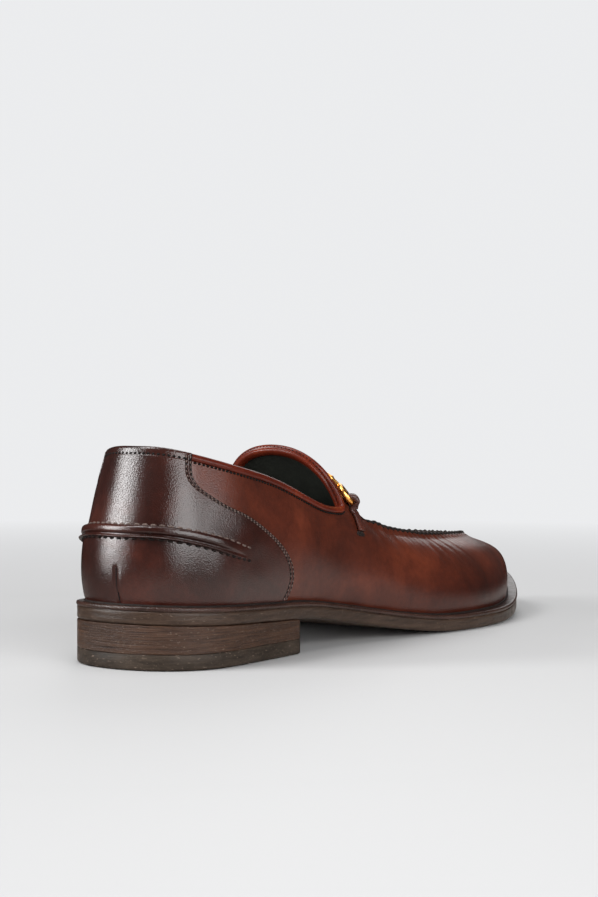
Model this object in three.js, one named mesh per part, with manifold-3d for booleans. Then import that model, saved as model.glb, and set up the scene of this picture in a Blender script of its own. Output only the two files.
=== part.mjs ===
// A man's leather bit loafer, right shoe, as an assembly of its separate pieces.
// Millimetres, +Z up, toe towards +Y, outer side towards +X.
// The origin is the middle of the heel's flat bottom.
import * as THREE from 'three';
import Module from 'manifold-3d';

const wasm = await Module();
wasm.setup();

// Driving dimensions
const SOLE_LENGTH = 298;
const BALL_WIDTH = 103;
const HEEL_WIDTH = 68;
const HEEL_LENGTH = 75;
const HEEL_HEIGHT = 17;
const SHANK_HEIGHT = 13.5;
const TOP_LIFT = 5.9;
const TREAD_START = 183;
const TREAD_END = 208;
const TOE_SPRING = 11;
const OUTSOLE = 5.1;
const WELT = 1.4;
const WELT_EDGE = 4.6;
const BACK_HEIGHT = 60;
const INSTEP_HEIGHT = 65;
const UPPER_WALL = 2.2;
const COUNTER_WALL = 1.2;
const INSOLE_RISE = 2.4;
const RIDGE_HEIGHT = 2.2;
const PANEL_FULLNESS = 1.0;
const APRON_SEAM = 1.5;
const BINDING_WIDTH = 3.0;
const BINDING_WALL = 0.7;
const RING_RADIUS = 4.2;
const RING_WIRE = 1.0;
const BAR_RADIUS = 1.5;
const TAB_WIDTH = 4.4;
const TAB_WALL = 1.0;
const GAP = 0.3;

// Names the columns of a short table.
function table(names, rows) {
  return rows.map((row) => Object.fromEntries(names.map((name, i) => [name, row[i]])));
}

// The sections round the edge of the sole, from the back of the heel to the tip of the toe.
// along, rimAlong: shares of the sole length. outer, inner, rimOuter, rimInner, lowOut, highOut:
// shares of the section's own width. rimRise: share of its own height, above the welt.
// edge: share of the welt's widest step. lowUp, highUp: heights of the wall's two handles, as
// shares of the wall. crown: place on the line down the middle of the vamp, from the throat (0)
// to the end of the apron (1). sideIn, sideUp: how the vamp's cross section leaves its side.
const SECTION_NAMES = ['along', 'outer', 'inner', 'rimAlong', 'rimOuter', 'rimInner', 'rimRise',
  'edge', 'lowOut', 'lowUp', 'highOut', 'highUp', 'crown', 'sideIn', 'sideUp'];

const HEEL_SECTIONS = table(SECTION_NAMES, [
  [0.0000, 0.000, 0.000, 0.0450, 0.000, 0.000, 0.972, 1.07, 0.057, 0.28, 0.080, 0.62, 0, 0.06, 0.39],
  [0.0097, 0.228, 0.228, 0.0510, 0.150, 0.150, 0.968, 1.07, 0.057, 0.28, 0.080, 0.62, 0, 0.06, 0.39],
  [0.0376, 0.393, 0.393, 0.0700, 0.268, 0.268, 0.942, 1.07, 0.057, 0.28, 0.078, 0.62, 0, 0.06, 0.39],
  [0.0805, 0.480, 0.480, 0.1000, 0.342, 0.342, 0.907, 1.00, 0.056, 0.29, 0.074, 0.62, 0, 0.06, 0.39],
  [0.1409, 0.500, 0.500, 0.1440, 0.398, 0.398, 0.861, 0.90, 0.054, 0.30, 0.066, 0.63, 0, 0.06, 0.39],
  [0.2215, 0.500, 0.488, 0.2060, 0.422, 0.422, 0.801, 0.80, 0.054, 0.32, 0.064, 0.65, 0, 0.06, 0.39],
]);

const FORE_SECTIONS = table(SECTION_NAMES, [
  [0.3087, 0.328, 0.297, 0.2819, 0.284, 0.284, 0.645, 0.72, 0.044, 0.34, 0.050, 0.68, 0, 0.06, 0.39],
  [0.3520, 0.336, 0.288, 0.3410, 0.281, 0.281, 0.596, 0.70, 0.046, 0.36, 0.058, 0.71, 0, 0.06, 0.39],
  [0.3960, 0.355, 0.285, 0.3890, 0.275, 0.275, 0.610, 0.70, 0.049, 0.38, 0.066, 0.74, 0, 0.05, 0.45],
  [0.4899, 0.419, 0.336, 0.4732, 0.272, 0.272, 0.556, 0.78, 0.045, 0.42, 0.083, 0.82, 0.245, 0.13, 0.26],
  [0.5872, 0.482, 0.427, 0.5604, 0.277, 0.282, 0.526, 0.91, 0.039, 0.45, 0.092, 0.87, 0.480, 0.22, 0.34],
  [0.6812, 0.505, 0.487, 0.6376, 0.277, 0.291, 0.498, 1.00, 0.035, 0.47, 0.107, 0.89, 0.680, 0.28, 0.38],
  [0.7752, 0.462, 0.489, 0.7148, 0.252, 0.286, 0.478, 1.00, 0.029, 0.50, 0.126, 0.89, 0.850, 0.30, 0.42],
  [0.8624, 0.357, 0.423, 0.7819, 0.199, 0.257, 0.448, 1.00, 0.023, 0.52, 0.155, 0.87, 1, 0.30, 0.45],
  [0.9362, 0.228, 0.325, 0.8255, 0.121, 0.199, 0.411, 1.00, 0.019, 0.54, 0.189, 0.84, 1, 0.30, 0.45],
  [0.9849, 0.092, 0.209, 0.8473, 0.034, 0.116, 0.392, 1.00, 0.017, 0.55, 0.214, 0.82, 1, 0.30, 0.45],
  [1.0000, -0.058, 0.058, 0.8523, -0.049, 0.049, 0.388, 1.00, 0.017, 0.55, 0.223, 0.81, 1, 0.30, 0.45],
]);

// The line down the middle of the vamp: side is a share of the ball width, along a share of the
// sole length and rise a share of the instep height above the welt.
const CROWN_LINE = table(['side', 'along', 'rise'], [
  [0.000, 0.3570, 0.978],
  [0.000, 0.4497, 0.690],
  [-0.005, 0.5503, 0.605],
  [-0.015, 0.6376, 0.545],
  [-0.025, 0.7114, 0.503],
  [-0.034, 0.7718, 0.470],
]);

// The front edge of the heel counter: up is the share of the wall's height, around is the
// distance from the middle of the back along the sole's edge, as a share of the heel length.
const COUNTER_EDGE = table(['up', 'around'], [
  [0.00, 1.175], [0.15, 1.223], [0.26, 1.229], [0.36, 1.203], [0.467, 1.133], [0.546, 1.044],
  [0.671, 0.819], [0.717, 0.659], [0.762, 0.552], [0.808, 0.471], [0.862, 0.431], [1.00, 0.425],
]);

// The raised seam across the counter: its lower and upper foot, the same way round.
const COUNTER_RIDGE = table(['around', 'low', 'high'], [
  [0.00, 0.452, 0.550], [0.20, 0.452, 0.552], [0.31, 0.445, 0.550], [0.44, 0.421, 0.537],
  [0.63, 0.367, 0.504], [0.80, 0.329, 0.455], [1.30, 0.250, 0.350],
]);
const RIDGE_END = 0.80;

const THROAT = 8;
const SECTIONS = [
  ...HEEL_SECTIONS.map((row) => ({ ...row, width: HEEL_WIDTH, height: BACK_HEIGHT })),
  ...FORE_SECTIONS.map((row) => ({ ...row, width: BALL_WIDTH, height: INSTEP_HEIGHT })),
];
const LAST_SECTION = SECTIONS.length - 1;
const LOOP_COUNT = 2 * LAST_SECTION;

const mix = (a, b, t) => a + (b - a) * t;
const clamp01 = (t) => Math.min(1, Math.max(0, t));
const smooth = (t) => {
  const c = clamp01(t);
  return c * c * (3 - 2 * c);
};

// A value read from a table with straight steps between its rows.
function readTable(rows, key, value, at) {
  let i = 0;
  while (i < rows.length - 2 && at > rows[i + 1][key]) i += 1;
  const t = clamp01((at - rows[i][key]) / (rows[i + 1][key] - rows[i][key]));
  return mix(rows[i][value], rows[i + 1][value], t);
}

const SHANK_FULLNESS = 2.5;

// Underside of the sole: the heel seat, the shank, the flat tread and the toe spring.
function soleBottom(y) {
  if (y <= HEEL_LENGTH) {
    return mix(HEEL_HEIGHT, SHANK_HEIGHT, Math.max(y, 0) / HEEL_LENGTH);
  }
  if (y < TREAD_START) {
    const s = (TREAD_START - y) / (TREAD_START - HEEL_LENGTH);
    return SHANK_HEIGHT * (SHANK_FULLNESS * s ** 2 - (SHANK_FULLNESS - 1) * s ** 3);
  }
  return TOE_SPRING * clamp01((y - TREAD_END) / (SOLE_LENGTH - TREAD_END)) ** 2;
}
const weltBottom = (y) => soleBottom(y) + OUTSOLE + GAP;
const weltTop = (y) => weltBottom(y) + WELT;

// Solves a small full set of equations, for the closed spline below.
function solve(matrix, right) {
  const n = matrix.length;
  for (let c = 0; c < n; c += 1) {
    let best = c;
    for (let r = c + 1; r < n; r += 1) {
      if (Math.abs(matrix[r][c]) > Math.abs(matrix[best][c])) best = r;
    }
    [matrix[c], matrix[best]] = [matrix[best], matrix[c]];
    [right[c], right[best]] = [right[best], right[c]];
    for (let r = 0; r < n; r += 1) {
      const f = r === c ? 0 : matrix[r][c] / matrix[c][c];
      if (f === 0) continue;
      for (let k = c; k < n; k += 1) matrix[r][k] -= f * matrix[c][k];
      right[r] = right[r].map((v, k) => v - f * right[c][k]);
    }
  }
  return right.map((row, i) => row.map((v) => v / matrix[i][i]));
}

// A smooth closed spline through rows of values, at the given distances round the loop.
function closedSpline(knots, values) {
  const n = values.length;
  const step = values.map((_, i) => knots[i + 1] - knots[i]);
  const matrix = values.map(() => new Array(n).fill(0));
  const right = values.map((row, i) => {
    const before = (i + n - 1) % n;
    const after = (i + 1) % n;
    matrix[i][before] += step[before];
    matrix[i][i] += 2 * (step[before] + step[i]);
    matrix[i][after] += step[i];
    return row.map((v, k) => {
      const slopeBefore = (v - values[before][k]) / step[before];
      const slopeAfter = (values[after][k] - v) / step[i];
      return 6 * (slopeAfter - slopeBefore);
    });
  });
  const bend = solve(matrix, right);
  const total = knots[n];
  return (distance) => {
    const d = ((distance % total) + total) % total;
    let i = 0;
    while (i < n - 1 && d >= knots[i + 1]) i += 1;
    const j = (i + 1) % n;
    const h = step[i];
    const a = knots[i + 1] - d;
    const b = d - knots[i];
    return values[i].map((v, k) => bend[i][k] * a ** 3 / (6 * h) + bend[j][k] * b ** 3 / (6 * h)
      + (v / h - bend[i][k] * h / 6) * a + (values[j][k] / h - bend[j][k] * h / 6) * b);
  };
}

// The loop of sections: up the outer side from the heel to the toe and back down the inner side.
const LOOP_KEYS = ['x', 'y', 'rimX', 'rimY', 'rimZ', 'edge', 'lowOut', 'lowUp', 'highOut', 'highUp',
  'crown', 'sideIn', 'sideUp'];
const loopValues = Array.from({ length: LOOP_COUNT }, (_, k) => {
  const outerSide = k <= LAST_SECTION;
  const row = SECTIONS[outerSide ? k : LOOP_COUNT - k];
  const rimY = row.rimAlong * SOLE_LENGTH;
  return [
    (outerSide ? row.outer : -row.inner) * row.width,
    row.along * SOLE_LENGTH,
    (outerSide ? row.rimOuter : -row.rimInner) * row.width,
    rimY,
    weltTop(rimY) + row.rimRise * row.height,
    row.edge * WELT_EDGE,
    row.lowOut * row.width,
    row.lowUp,
    row.highOut * row.width,
    row.highUp,
    row.crown,
    row.sideIn,
    row.sideUp,
  ];
});
const KNOTS = loopValues.reduce((list, row, i) => {
  const next = loopValues[(i + 1) % LOOP_COUNT];
  return [...list, list[i] + Math.hypot(next[0] - row[0], next[1] - row[1])];
}, [0]);
const LOOP_LENGTH = KNOTS[LOOP_COUNT];
const loopSpline = closedSpline(KNOTS, loopValues);

// Everything known at one place round the loop, with the outward direction seen from above.
const LOOP_PROBE = 0.01;
function station(distance) {
  const values = loopSpline(distance);
  const ahead = loopSpline(distance + LOOP_PROBE);
  const behind = loopSpline(distance - LOOP_PROBE);
  const found = Object.fromEntries(LOOP_KEYS.map((name, i) => [name, values[i]]));
  found.out = new THREE.Vector3(ahead[1] - behind[1], behind[0] - ahead[0], 0).normalize();
  return found;
}

// A point of the sole's outline, drawn in by the given amount.
function outlinePoint(distance, inset) {
  const s = station(distance);
  return new THREE.Vector2(s.x - s.out.x * inset, s.y - s.out.y * inset);
}

function bezier(a, b, c, d, t) {
  const u = 1 - t;
  return new THREE.Vector3()
    .addScaledVector(a, u ** 3)
    .addScaledVector(b, 3 * u ** 2 * t)
    .addScaledVector(c, 3 * u * t ** 2)
    .addScaledVector(d, t ** 3);
}

// The wall of the last: from the welt (up = 0) to the topline or the apron seam (up = 1).
function wallPoint(distance, up) {
  const s = station(distance);
  const foot = outlinePoint(distance, s.edge);
  const start = new THREE.Vector3(foot.x, foot.y, weltTop(foot.y) + GAP);
  const end = new THREE.Vector3(s.rimX, s.rimY, s.rimZ);
  const rise = end.z - start.z;
  const low = start.clone().addScaledVector(s.out, s.lowOut).setZ(start.z + rise * s.lowUp);
  const high = end.clone().addScaledVector(s.out, s.highOut).setZ(start.z + rise * s.highUp);
  return bezier(start, low, high, end, up);
}

// The middle line of the vamp, smooth through its rows, with its slope.
const crownKnots = CROWN_LINE.map((row) => new THREE.Vector3(
  row.side * BALL_WIDTH,
  row.along * SOLE_LENGTH,
  weltTop(row.along * SOLE_LENGTH) + row.rise * INSTEP_HEIGHT,
));
const crownStart = crownKnots[0].y;
const crownEnd = crownKnots[crownKnots.length - 1].y;
function crownPoint(place) {
  const y = mix(crownStart, crownEnd, clamp01(place));
  let i = 0;
  while (i < crownKnots.length - 2 && y > crownKnots[i + 1].y) i += 1;
  const slope = (k, axis) => {
    const a = crownKnots[Math.max(0, k - 1)];
    const b = crownKnots[k];
    const c = crownKnots[Math.min(crownKnots.length - 1, k + 1)];
    const before = k > 0 ? (b[axis] - a[axis]) / (b.y - a.y) : (c[axis] - b[axis]) / (c.y - b.y);
    const after = c === b ? before : (c[axis] - b[axis]) / (c.y - b.y);
    return (before + after) / 2;
  };
  const h = crownKnots[i + 1].y - crownKnots[i].y;
  const t = (y - crownKnots[i].y) / h;
  const read = (axis) => (2 * t ** 3 - 3 * t ** 2 + 1) * crownKnots[i][axis]
    + (t ** 3 - 2 * t ** 2 + t) * h * slope(i, axis)
    + (3 * t ** 2 - 2 * t ** 3) * crownKnots[i + 1][axis]
    + (t ** 3 - t ** 2) * h * slope(i + 1, axis);
  return new THREE.Vector3(read('x'), y, read('z'));
}
const CROWN_PROBE = 0.002;
function crownSlope(place) {
  const a = crownPoint(clamp01(place - CROWN_PROBE));
  const b = crownPoint(clamp01(place + CROWN_PROBE));
  return (b.z - a.z) / (b.y - a.y);
}

// The closed part of the vamp: from its side (over = 0) to the middle line (over = 1). The two
// sides of the shoe share the place where they meet on that line, and from TOE_FAN on, every
// section runs to the line's end.
const TOE_FAN = 13;
const SHOULDER = 0.7;
const CREST = 0.4;
function mirrorDistance(index, share) {
  return mix(KNOTS[LOOP_COUNT - index], KNOTS[LOOP_COUNT - index - 1], share);
}
function vampPoint(index, share, side, over) {
  const distance = side > 0 ? mix(KNOTS[index], KNOTS[index + 1], share) : mirrorDistance(index, share);
  const other = side > 0 ? mirrorDistance(index, share) : mix(KNOTS[index], KNOTS[index + 1], share);
  const s = station(distance);
  const place = index >= TOE_FAN ? 1 : clamp01((s.crown + station(other).crown) / 2);
  const start = new THREE.Vector3(s.rimX, s.rimY, s.rimZ);
  const end = crownPoint(place);
  const span = end.clone().sub(start);
  const rise = start.clone().add(new THREE.Vector3(
    span.x * s.sideIn,
    span.y * Math.max(s.sideIn, s.sideUp),
    span.z * s.sideUp,
  ));
  const back = place > 0 ? CREST * span.y : 0;
  const crest = end.clone().sub(new THREE.Vector3(span.x * SHOULDER, back, back * crownSlope(place)));
  return bezier(start, rise, crest, end, over);
}

// Points and triangles that share their corners, which are told apart on a fine grid.
const CORNER_GRID = 1e5;
class Skin {
  constructor() {
    this.points = [];
    this.lifts = [];
    this.faces = [];
    this.found = new Map();
  }

  vertex(point, lift = 0) {
    const key = [point.x, point.y, point.z].map((v) => Math.round(v * CORNER_GRID)).join(' ');
    if (!this.found.has(key)) {
      this.found.set(key, this.points.length);
      this.points.push(point.clone());
      this.lifts.push(lift);
    }
    return this.found.get(key);
  }

  triangle(a, b, c) {
    if (a !== b && b !== c && c !== a) this.faces.push([a, b, c]);
  }

  quad(a, b, c, d) {
    this.triangle(a, b, c);
    this.triangle(a, c, d);
  }

  // Rows of vertex numbers joined to each other; a closed grid joins its last column to its first.
  grid(rows, closed = false) {
    for (let r = 0; r < rows.length - 1; r += 1) {
      const count = closed ? rows[r].length : rows[r].length - 1;
      for (let c = 0; c < count; c += 1) {
        const d = (c + 1) % rows[r].length;
        this.quad(rows[r][c], rows[r][d], rows[r + 1][d], rows[r + 1][c]);
      }
    }
  }

  normals() {
    const list = this.points.map(() => new THREE.Vector3());
    for (const [a, b, c] of this.faces) {
      const edge = this.points[b].clone().sub(this.points[a]);
      const n = edge.cross(this.points[c].clone().sub(this.points[a]));
      list[a].add(n);
      list[b].add(n);
      list[c].add(n);
    }
    return list.map((n) => n.normalize());
  }

  geometry() {
    const shape = new THREE.BufferGeometry();
    const positions = this.points.flatMap((p) => [p.x, p.y, p.z]);
    shape.setAttribute('position', new THREE.Float32BufferAttribute(positions, 3));
    shape.setIndex(this.faces.flat());
    shape.computeVertexNormals();
    return shape;
  }
}

// Makes an open skin into a shell: near and far are its distances outside the skin, and flat
// says which points keep their height, where the shell stands on the welt.
function shell(skin, near, far, flat) {
  const solid = new Skin();
  const normals = skin.normals();
  const shifted = (i, amount) => {
    const n = normals[i].clone();
    if (flat(i)) n.setZ(0).normalize();
    return skin.points[i].clone().addScaledVector(n, amount);
  };
  solid.points = [
    ...skin.points.map((_, i) => shifted(i, far + skin.lifts[i])),
    ...skin.points.map((_, i) => shifted(i, near)),
  ];
  const count = skin.points.length;
  const edges = new Set(skin.faces.flatMap(([a, b, c]) => [`${a} ${b}`, `${b} ${c}`, `${c} ${a}`]));
  for (const [a, b, c] of skin.faces) {
    solid.triangle(a, b, c);
    solid.triangle(c + count, b + count, a + count);
    for (const [p, q] of [[a, b], [b, c], [c, a]]) {
      if (!edges.has(`${q} ${p}`)) solid.quad(q, p, p + count, q + count);
    }
  }
  return solid.geometry();
}

// Stacked rings, each a list of points, closed by a flat or gently curved cap at both ends. The
// caps run across from one side of the ring to the other.
function stack(rings) {
  const solid = new Skin();
  const rows = rings.map((ring) => ring.map((p) => solid.vertex(p)));
  solid.grid(rows, true);
  const n = rows[0].length;
  for (let k = 0; k < Math.floor(n / 2); k += 1) {
    const top = rows[rows.length - 1];
    const bottom = rows[0];
    const far = (i) => (n - i) % n;
    solid.quad(top[far(k)], top[k], top[k + 1], top[far(k + 1)]);
    solid.quad(bottom[far(k + 1)], bottom[k + 1], bottom[k], bottom[far(k)]);
  }
  return solid.geometry();
}

const STEPS = 3;
const loopDistances = Array.from({ length: LOOP_COUNT * STEPS }, (_, i) => {
  const index = Math.floor(i / STEPS);
  return mix(KNOTS[index], KNOTS[index + 1], (i % STEPS) / STEPS);
});

// Outsole: the full outline, with a small bevel at the tread edge.
const BEVEL = 0.8;
function outsoleGeometry() {
  const ring = (inset, height) => loopDistances.map((distance) => {
    const p = outlinePoint(distance, inset);
    return new THREE.Vector3(p.x, p.y, height(p.y));
  });
  return stack([
    ring(BEVEL, soleBottom),
    ring(0, (y) => soleBottom(y) + BEVEL),
    ring(0, (y) => soleBottom(y) + OUTSOLE),
  ]);
}

// Welt: a strip round the edge, standing a little proud of the outsole, which the upper sits on.
const WELT_LIP = 0.3;
function weltGeometry() {
  const solid = new Skin();
  const ring = (inset, height) => loopDistances.map((distance) => {
    const p = outlinePoint(distance, typeof inset === 'function' ? inset(distance) : inset);
    return solid.vertex(new THREE.Vector3(p.x, p.y, height(p.y)));
  });
  const inner = (distance) => station(distance).edge + UPPER_WALL;
  solid.grid([
    ring(inner, weltBottom),
    ring(-WELT_LIP, weltBottom),
    ring(-WELT_LIP, weltTop),
    ring(inner, weltTop),
    ring(inner, weltBottom),
  ], true);
  return solid.geometry();
}

// Insole: fills the inside of the upper's lower edge, from the outsole to just above the welt.
function insoleGeometry() {
  const ring = (height) => loopDistances.map((distance) => {
    const p = outlinePoint(distance, station(distance).edge + UPPER_WALL + 2 * GAP);
    return new THREE.Vector3(p.x, p.y, height(p.y));
  });
  return stack([ring(weltBottom), ring((y) => weltTop(y) + INSOLE_RISE)]);
}

// Upper: wall and vamp in one hollow shell, open at the collar and underneath.
const WALL_ROWS = [0, 0.09, 0.2, 0.31, 0.42, 0.53, 0.64, 0.75, 0.86, 0.945, 1];
const VAMP_ROWS = [0, 0.1, 0.23, 0.38, 0.54, 0.7, 0.86, 1];
const SEAM_START = 0.6;
const SEAM_RUN_IN = 0.4;
function upperSkin() {
  const skin = new Skin();
  const standing = new Set();
  const rows = WALL_ROWS.map((up) => loopDistances.map((distance, i) => {
    const section = i / STEPS;
    const closedBy = Math.min(section - THROAT, LOOP_COUNT - THROAT - section);
    const lift = up === 1 ? APRON_SEAM * smooth((closedBy - SEAM_START) / SEAM_RUN_IN) : 0;
    const vertex = skin.vertex(wallPoint(distance, up), lift);
    if (up === 0) standing.add(vertex);
    return vertex;
  }));
  skin.grid(rows, true);
  for (const side of [1, -1]) {
    const columns = [];
    for (let index = THROAT; index < LAST_SECTION; index += 1) {
      for (let k = 0; k < STEPS; k += 1) columns.push([index, k / STEPS]);
    }
    columns.push([LAST_SECTION - 1, 1]);
    const grid = VAMP_ROWS.map((over) => columns.map(([index, share]) => (
      skin.vertex(vampPoint(index, share, side, over))
    )));
    if (side < 0) grid.forEach((row) => row.reverse());
    skin.grid(grid);
  }
  return { skin, standing };
}
const upper = upperSkin();
const upperNormals = upper.skin.normals();
const upperGeometry = () => shell(upper.skin, -UPPER_WALL, 0, (i) => upper.standing.has(i));

// Heel counter: a panel over the back of the upper, with the raised seam across it.
const COUNTER_COLUMNS = 34;
const UPRIGHT_SHARE = 0.42;
const UPRIGHT_AROUND = 0.36;
const COUNTER_LIP = 0.9;
const COUNTER_GAP = 0.4;
const COUNTER_RIM = 0.95;
const BELOW_LEVELS = [0, 0.28, 0.56, 0.82, 1];
const BELOW_EASE = 0.7;
const RIDGE_LEVELS = [[0.32, 1], [0.68, 1], [1, 0]];
const ABOVE_LEVELS = [0.15, 0.28, 0.38, 0.46, 0.54, 0.63, 0.76, 1];
const RIDGE_FADE = 0.35;
const EDGE_PASSES = 6;
function counterGeometry() {
  const skin = new Skin();
  const standing = new Set();
  const foot = (around, key) => readTable(COUNTER_RIDGE, 'around', key, around);
  const levels = [
    ...BELOW_LEVELS.map((t) => ({
      up: (a) => foot(a, 'low') * t,
      lift: PANEL_FULLNESS * t ** BELOW_EASE,
    })),
    ...RIDGE_LEVELS.map(([t, on]) => ({
      up: (a) => mix(foot(a, 'low'), foot(a, 'high'), t),
      lift: on * RIDGE_HEIGHT,
    })),
    ...ABOVE_LEVELS.map((t) => ({ up: (a) => mix(foot(a, 'high'), 1, t), lift: 0 })),
    { up: () => 1, lift: 0, lip: COUNTER_LIP },
  ];
  const rows = levels.map((level) => Array.from({ length: COUNTER_COLUMNS + 1 }, (_, c) => {
    const share = (2 * c) / COUNTER_COLUMNS - 1;
    const outside = clamp01((Math.abs(share) - UPRIGHT_SHARE) / (1 - UPRIGHT_SHARE));
    const upright = (UPRIGHT_AROUND * Math.min(Math.abs(share), UPRIGHT_SHARE)) / UPRIGHT_SHARE;
    let around = upright;
    for (let pass = 0; pass < EDGE_PASSES; pass += 1) {
      around = mix(upright, readTable(COUNTER_EDGE, 'up', 'around', level.up(around)), outside);
    }
    const fade = smooth((RIDGE_END - around) / (RIDGE_FADE * RIDGE_END));
    const distance = Math.sign(share) * around * HEEL_LENGTH;
    const point = wallPoint(distance, level.up(around));
    if (level.lip) {
      const rim = wallPoint(distance, COUNTER_RIM);
      point.add(point.clone().sub(rim).setLength(level.lip));
    }
    const vertex = skin.vertex(point, level.lift * fade);
    if (level.up(around) === 0) standing.add(vertex);
    return vertex;
  }));
  skin.grid(rows);
  return shell(skin, COUNTER_GAP, COUNTER_GAP + COUNTER_WALL, (i) => standing.has(i));
}

// A closed section swept along a path. Each frame has its place and two directions, and the
// section's own points are pairs along those directions.
function sweep(frames, section, closed = false) {
  const solid = new Skin();
  const rows = frames.map(({ at, across, over, scale = 1 }) => section.map(([a, b]) => solid.vertex(
    at.clone().addScaledVector(across, a * scale).addScaledVector(over, b * scale),
  )));
  if (closed) rows.push(rows[0]);
  solid.grid(rows, true);
  if (!closed) {
    const caps = THREE.ShapeUtils.triangulateShape(section.map(([a, b]) => new THREE.Vector2(a, b)), []);
    for (const [a, b, c] of caps) {
      solid.triangle(rows[0][c], rows[0][b], rows[0][a]);
      solid.triangle(rows[rows.length - 1][a], rows[rows.length - 1][b], rows[rows.length - 1][c]);
    }
  }
  return solid;
}

// Turns a sweep the right way out, whichever way its section runs.
function outward(solid) {
  let volume = 0;
  for (const [a, b, c] of solid.faces) {
    volume += solid.points[a].dot(solid.points[b].clone().cross(solid.points[c]));
  }
  if (volume < 0) solid.faces = solid.faces.map(([a, b, c]) => [c, b, a]);
  return solid;
}

// Topline binding: a folded strip along the edge of the opening, from one end of the counter's
// top round the throat and over the tongue to the other.
const BINDING_LIP = 0.6;
const BINDING_GAP = 0.4;
const BINDING_CROWN = 0.2;
const CORNER_ROUND = 0.8;
function bindingGeometry() {
  const counterTop = COUNTER_EDGE[COUNTER_EDGE.length - 1].around * HEEL_LENGTH;
  const clear = counterTop + BINDING_WIDTH;
  const outerRim = loopDistances.filter((d) => d > clear && d <= KNOTS[THROAT]);
  const innerRim = loopDistances
    .filter((d) => d < LOOP_LENGTH - clear && d >= KNOTS[LOOP_COUNT - THROAT])
    .reverse();
  const start = counterTop + COUNTER_WALL;
  const side = (sign) => [
    ...(sign > 0 ? [start, ...outerRim] : [LOOP_LENGTH - start, ...innerRim]).map((d) => wallPoint(d, 1)),
    ...VAMP_ROWS.slice(1).map((over) => vampPoint(THROAT, 0, sign, over)),
  ];
  const path = [...side(1), ...side(-1).reverse().slice(1)];
  const last = path.length - 1;
  const corner = outerRim.length;
  const nearest = (i) => upperNormals[upper.skin.vertex(path[Math.min(last - 1, Math.max(1, i))])];
  const frames = path.map((at, i) => {
    const ahead = path[Math.min(last, i + 1)];
    const run = ahead.clone().sub(path[Math.max(0, i - 1)]).normalize();
    const across = nearest(i);
    const turn = at === path[corner] || at === path[last - corner] ? CORNER_ROUND : 1;
    return { at, across, over: across.clone().cross(run).setLength(turn) };
  });
  const section = [
    [BINDING_GAP, -BINDING_WIDTH],
    [BINDING_GAP + BINDING_WALL, -BINDING_WIDTH + GAP],
    [BINDING_GAP + BINDING_WALL + BINDING_CROWN, -BINDING_WIDTH / 2],
    [BINDING_GAP + BINDING_WALL, BINDING_LIP],
    [-UPPER_WALL / 2, BINDING_LIP + BINDING_WALL + GAP],
    [-UPPER_WALL, BINDING_LIP + BINDING_WALL],
    [-UPPER_WALL, BINDING_GAP],
    [BINDING_GAP, BINDING_GAP],
  ];
  return outward(sweep(frames, section)).geometry();
}

// Heel: the sole's outline cut across at the breast, which is a little hollow.
const BREAST_HOLLOW = 1.5;
const BREAST_SHARES = [0.25, 0.5, 0.75];
const BREAST_BEFORE = 7;
const HEEL_STEPS = 20;
const TOP_LIFT_BEVEL = 0.6;
function heelRing(inset, height) {
  const place = (sign) => {
    let low = 0;
    let high = KNOTS[BREAST_BEFORE];
    for (let middle = high / 2; middle > low && middle < high; middle = (low + high) / 2) {
      const before = outlinePoint(sign * middle, inset).y < HEEL_LENGTH - inset;
      if (before) low = middle;
      else high = middle;
    }
    return low;
  };
  const outer = place(1);
  const inner = place(-1);
  const ring = [];
  for (let k = 0; k <= HEEL_STEPS; k += 1) ring.push(outlinePoint((outer * k) / HEEL_STEPS, inset));
  const left = outlinePoint(-inner, inset);
  const right = outlinePoint(outer, inset);
  for (const t of BREAST_SHARES) {
    const hollow = Math.sin(Math.PI * t) * BREAST_HOLLOW;
    ring.push(new THREE.Vector2(mix(right.x, left.x, t), mix(right.y, left.y, t) - hollow));
  }
  for (let k = HEEL_STEPS; k > 0; k -= 1) ring.push(outlinePoint((-inner * k) / HEEL_STEPS, inset));
  return ring.map((p) => new THREE.Vector3(p.x, p.y, height(p.y)));
}

// Top lift: the rubber block that the shoe stands on.
function topLiftGeometry() {
  return stack([
    heelRing(TOP_LIFT_BEVEL, () => 0),
    heelRing(0, () => TOP_LIFT_BEVEL),
    heelRing(0, () => TOP_LIFT),
  ]);
}

// Heel stack: the leather layers between the top lift and the heel seat.
function heelStackGeometry() {
  return stack([
    heelRing(0, () => TOP_LIFT + GAP),
    heelRing(0, (y) => soleBottom(y) - GAP),
  ]);
}

// Bit: two rings held by leather tabs, joined by a bar across the vamp.
const BIT_SHARE = 0.33;
const RING_OVER = 0.27;
const TAB_SLANT = 0.3;
const BAR_SLANT = 0.6;
const BAR_START = 0.55;
const BIT_PROBE = 0.05;
const OVER_PROBE = 0.02;
const RING_REACH = 0.1;
const RING_SEGMENTS = 18;
const WIRE_SEGMENTS = 6;
const RING_STAND = RING_WIRE + GAP;
const BAR_STAND = BAR_RADIUS + 2 * GAP;
const BAR_SEGMENTS = 8;
const TAB_STAND = 2 * GAP;
const TAB_CLEARANCE = 3 * GAP;

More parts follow.
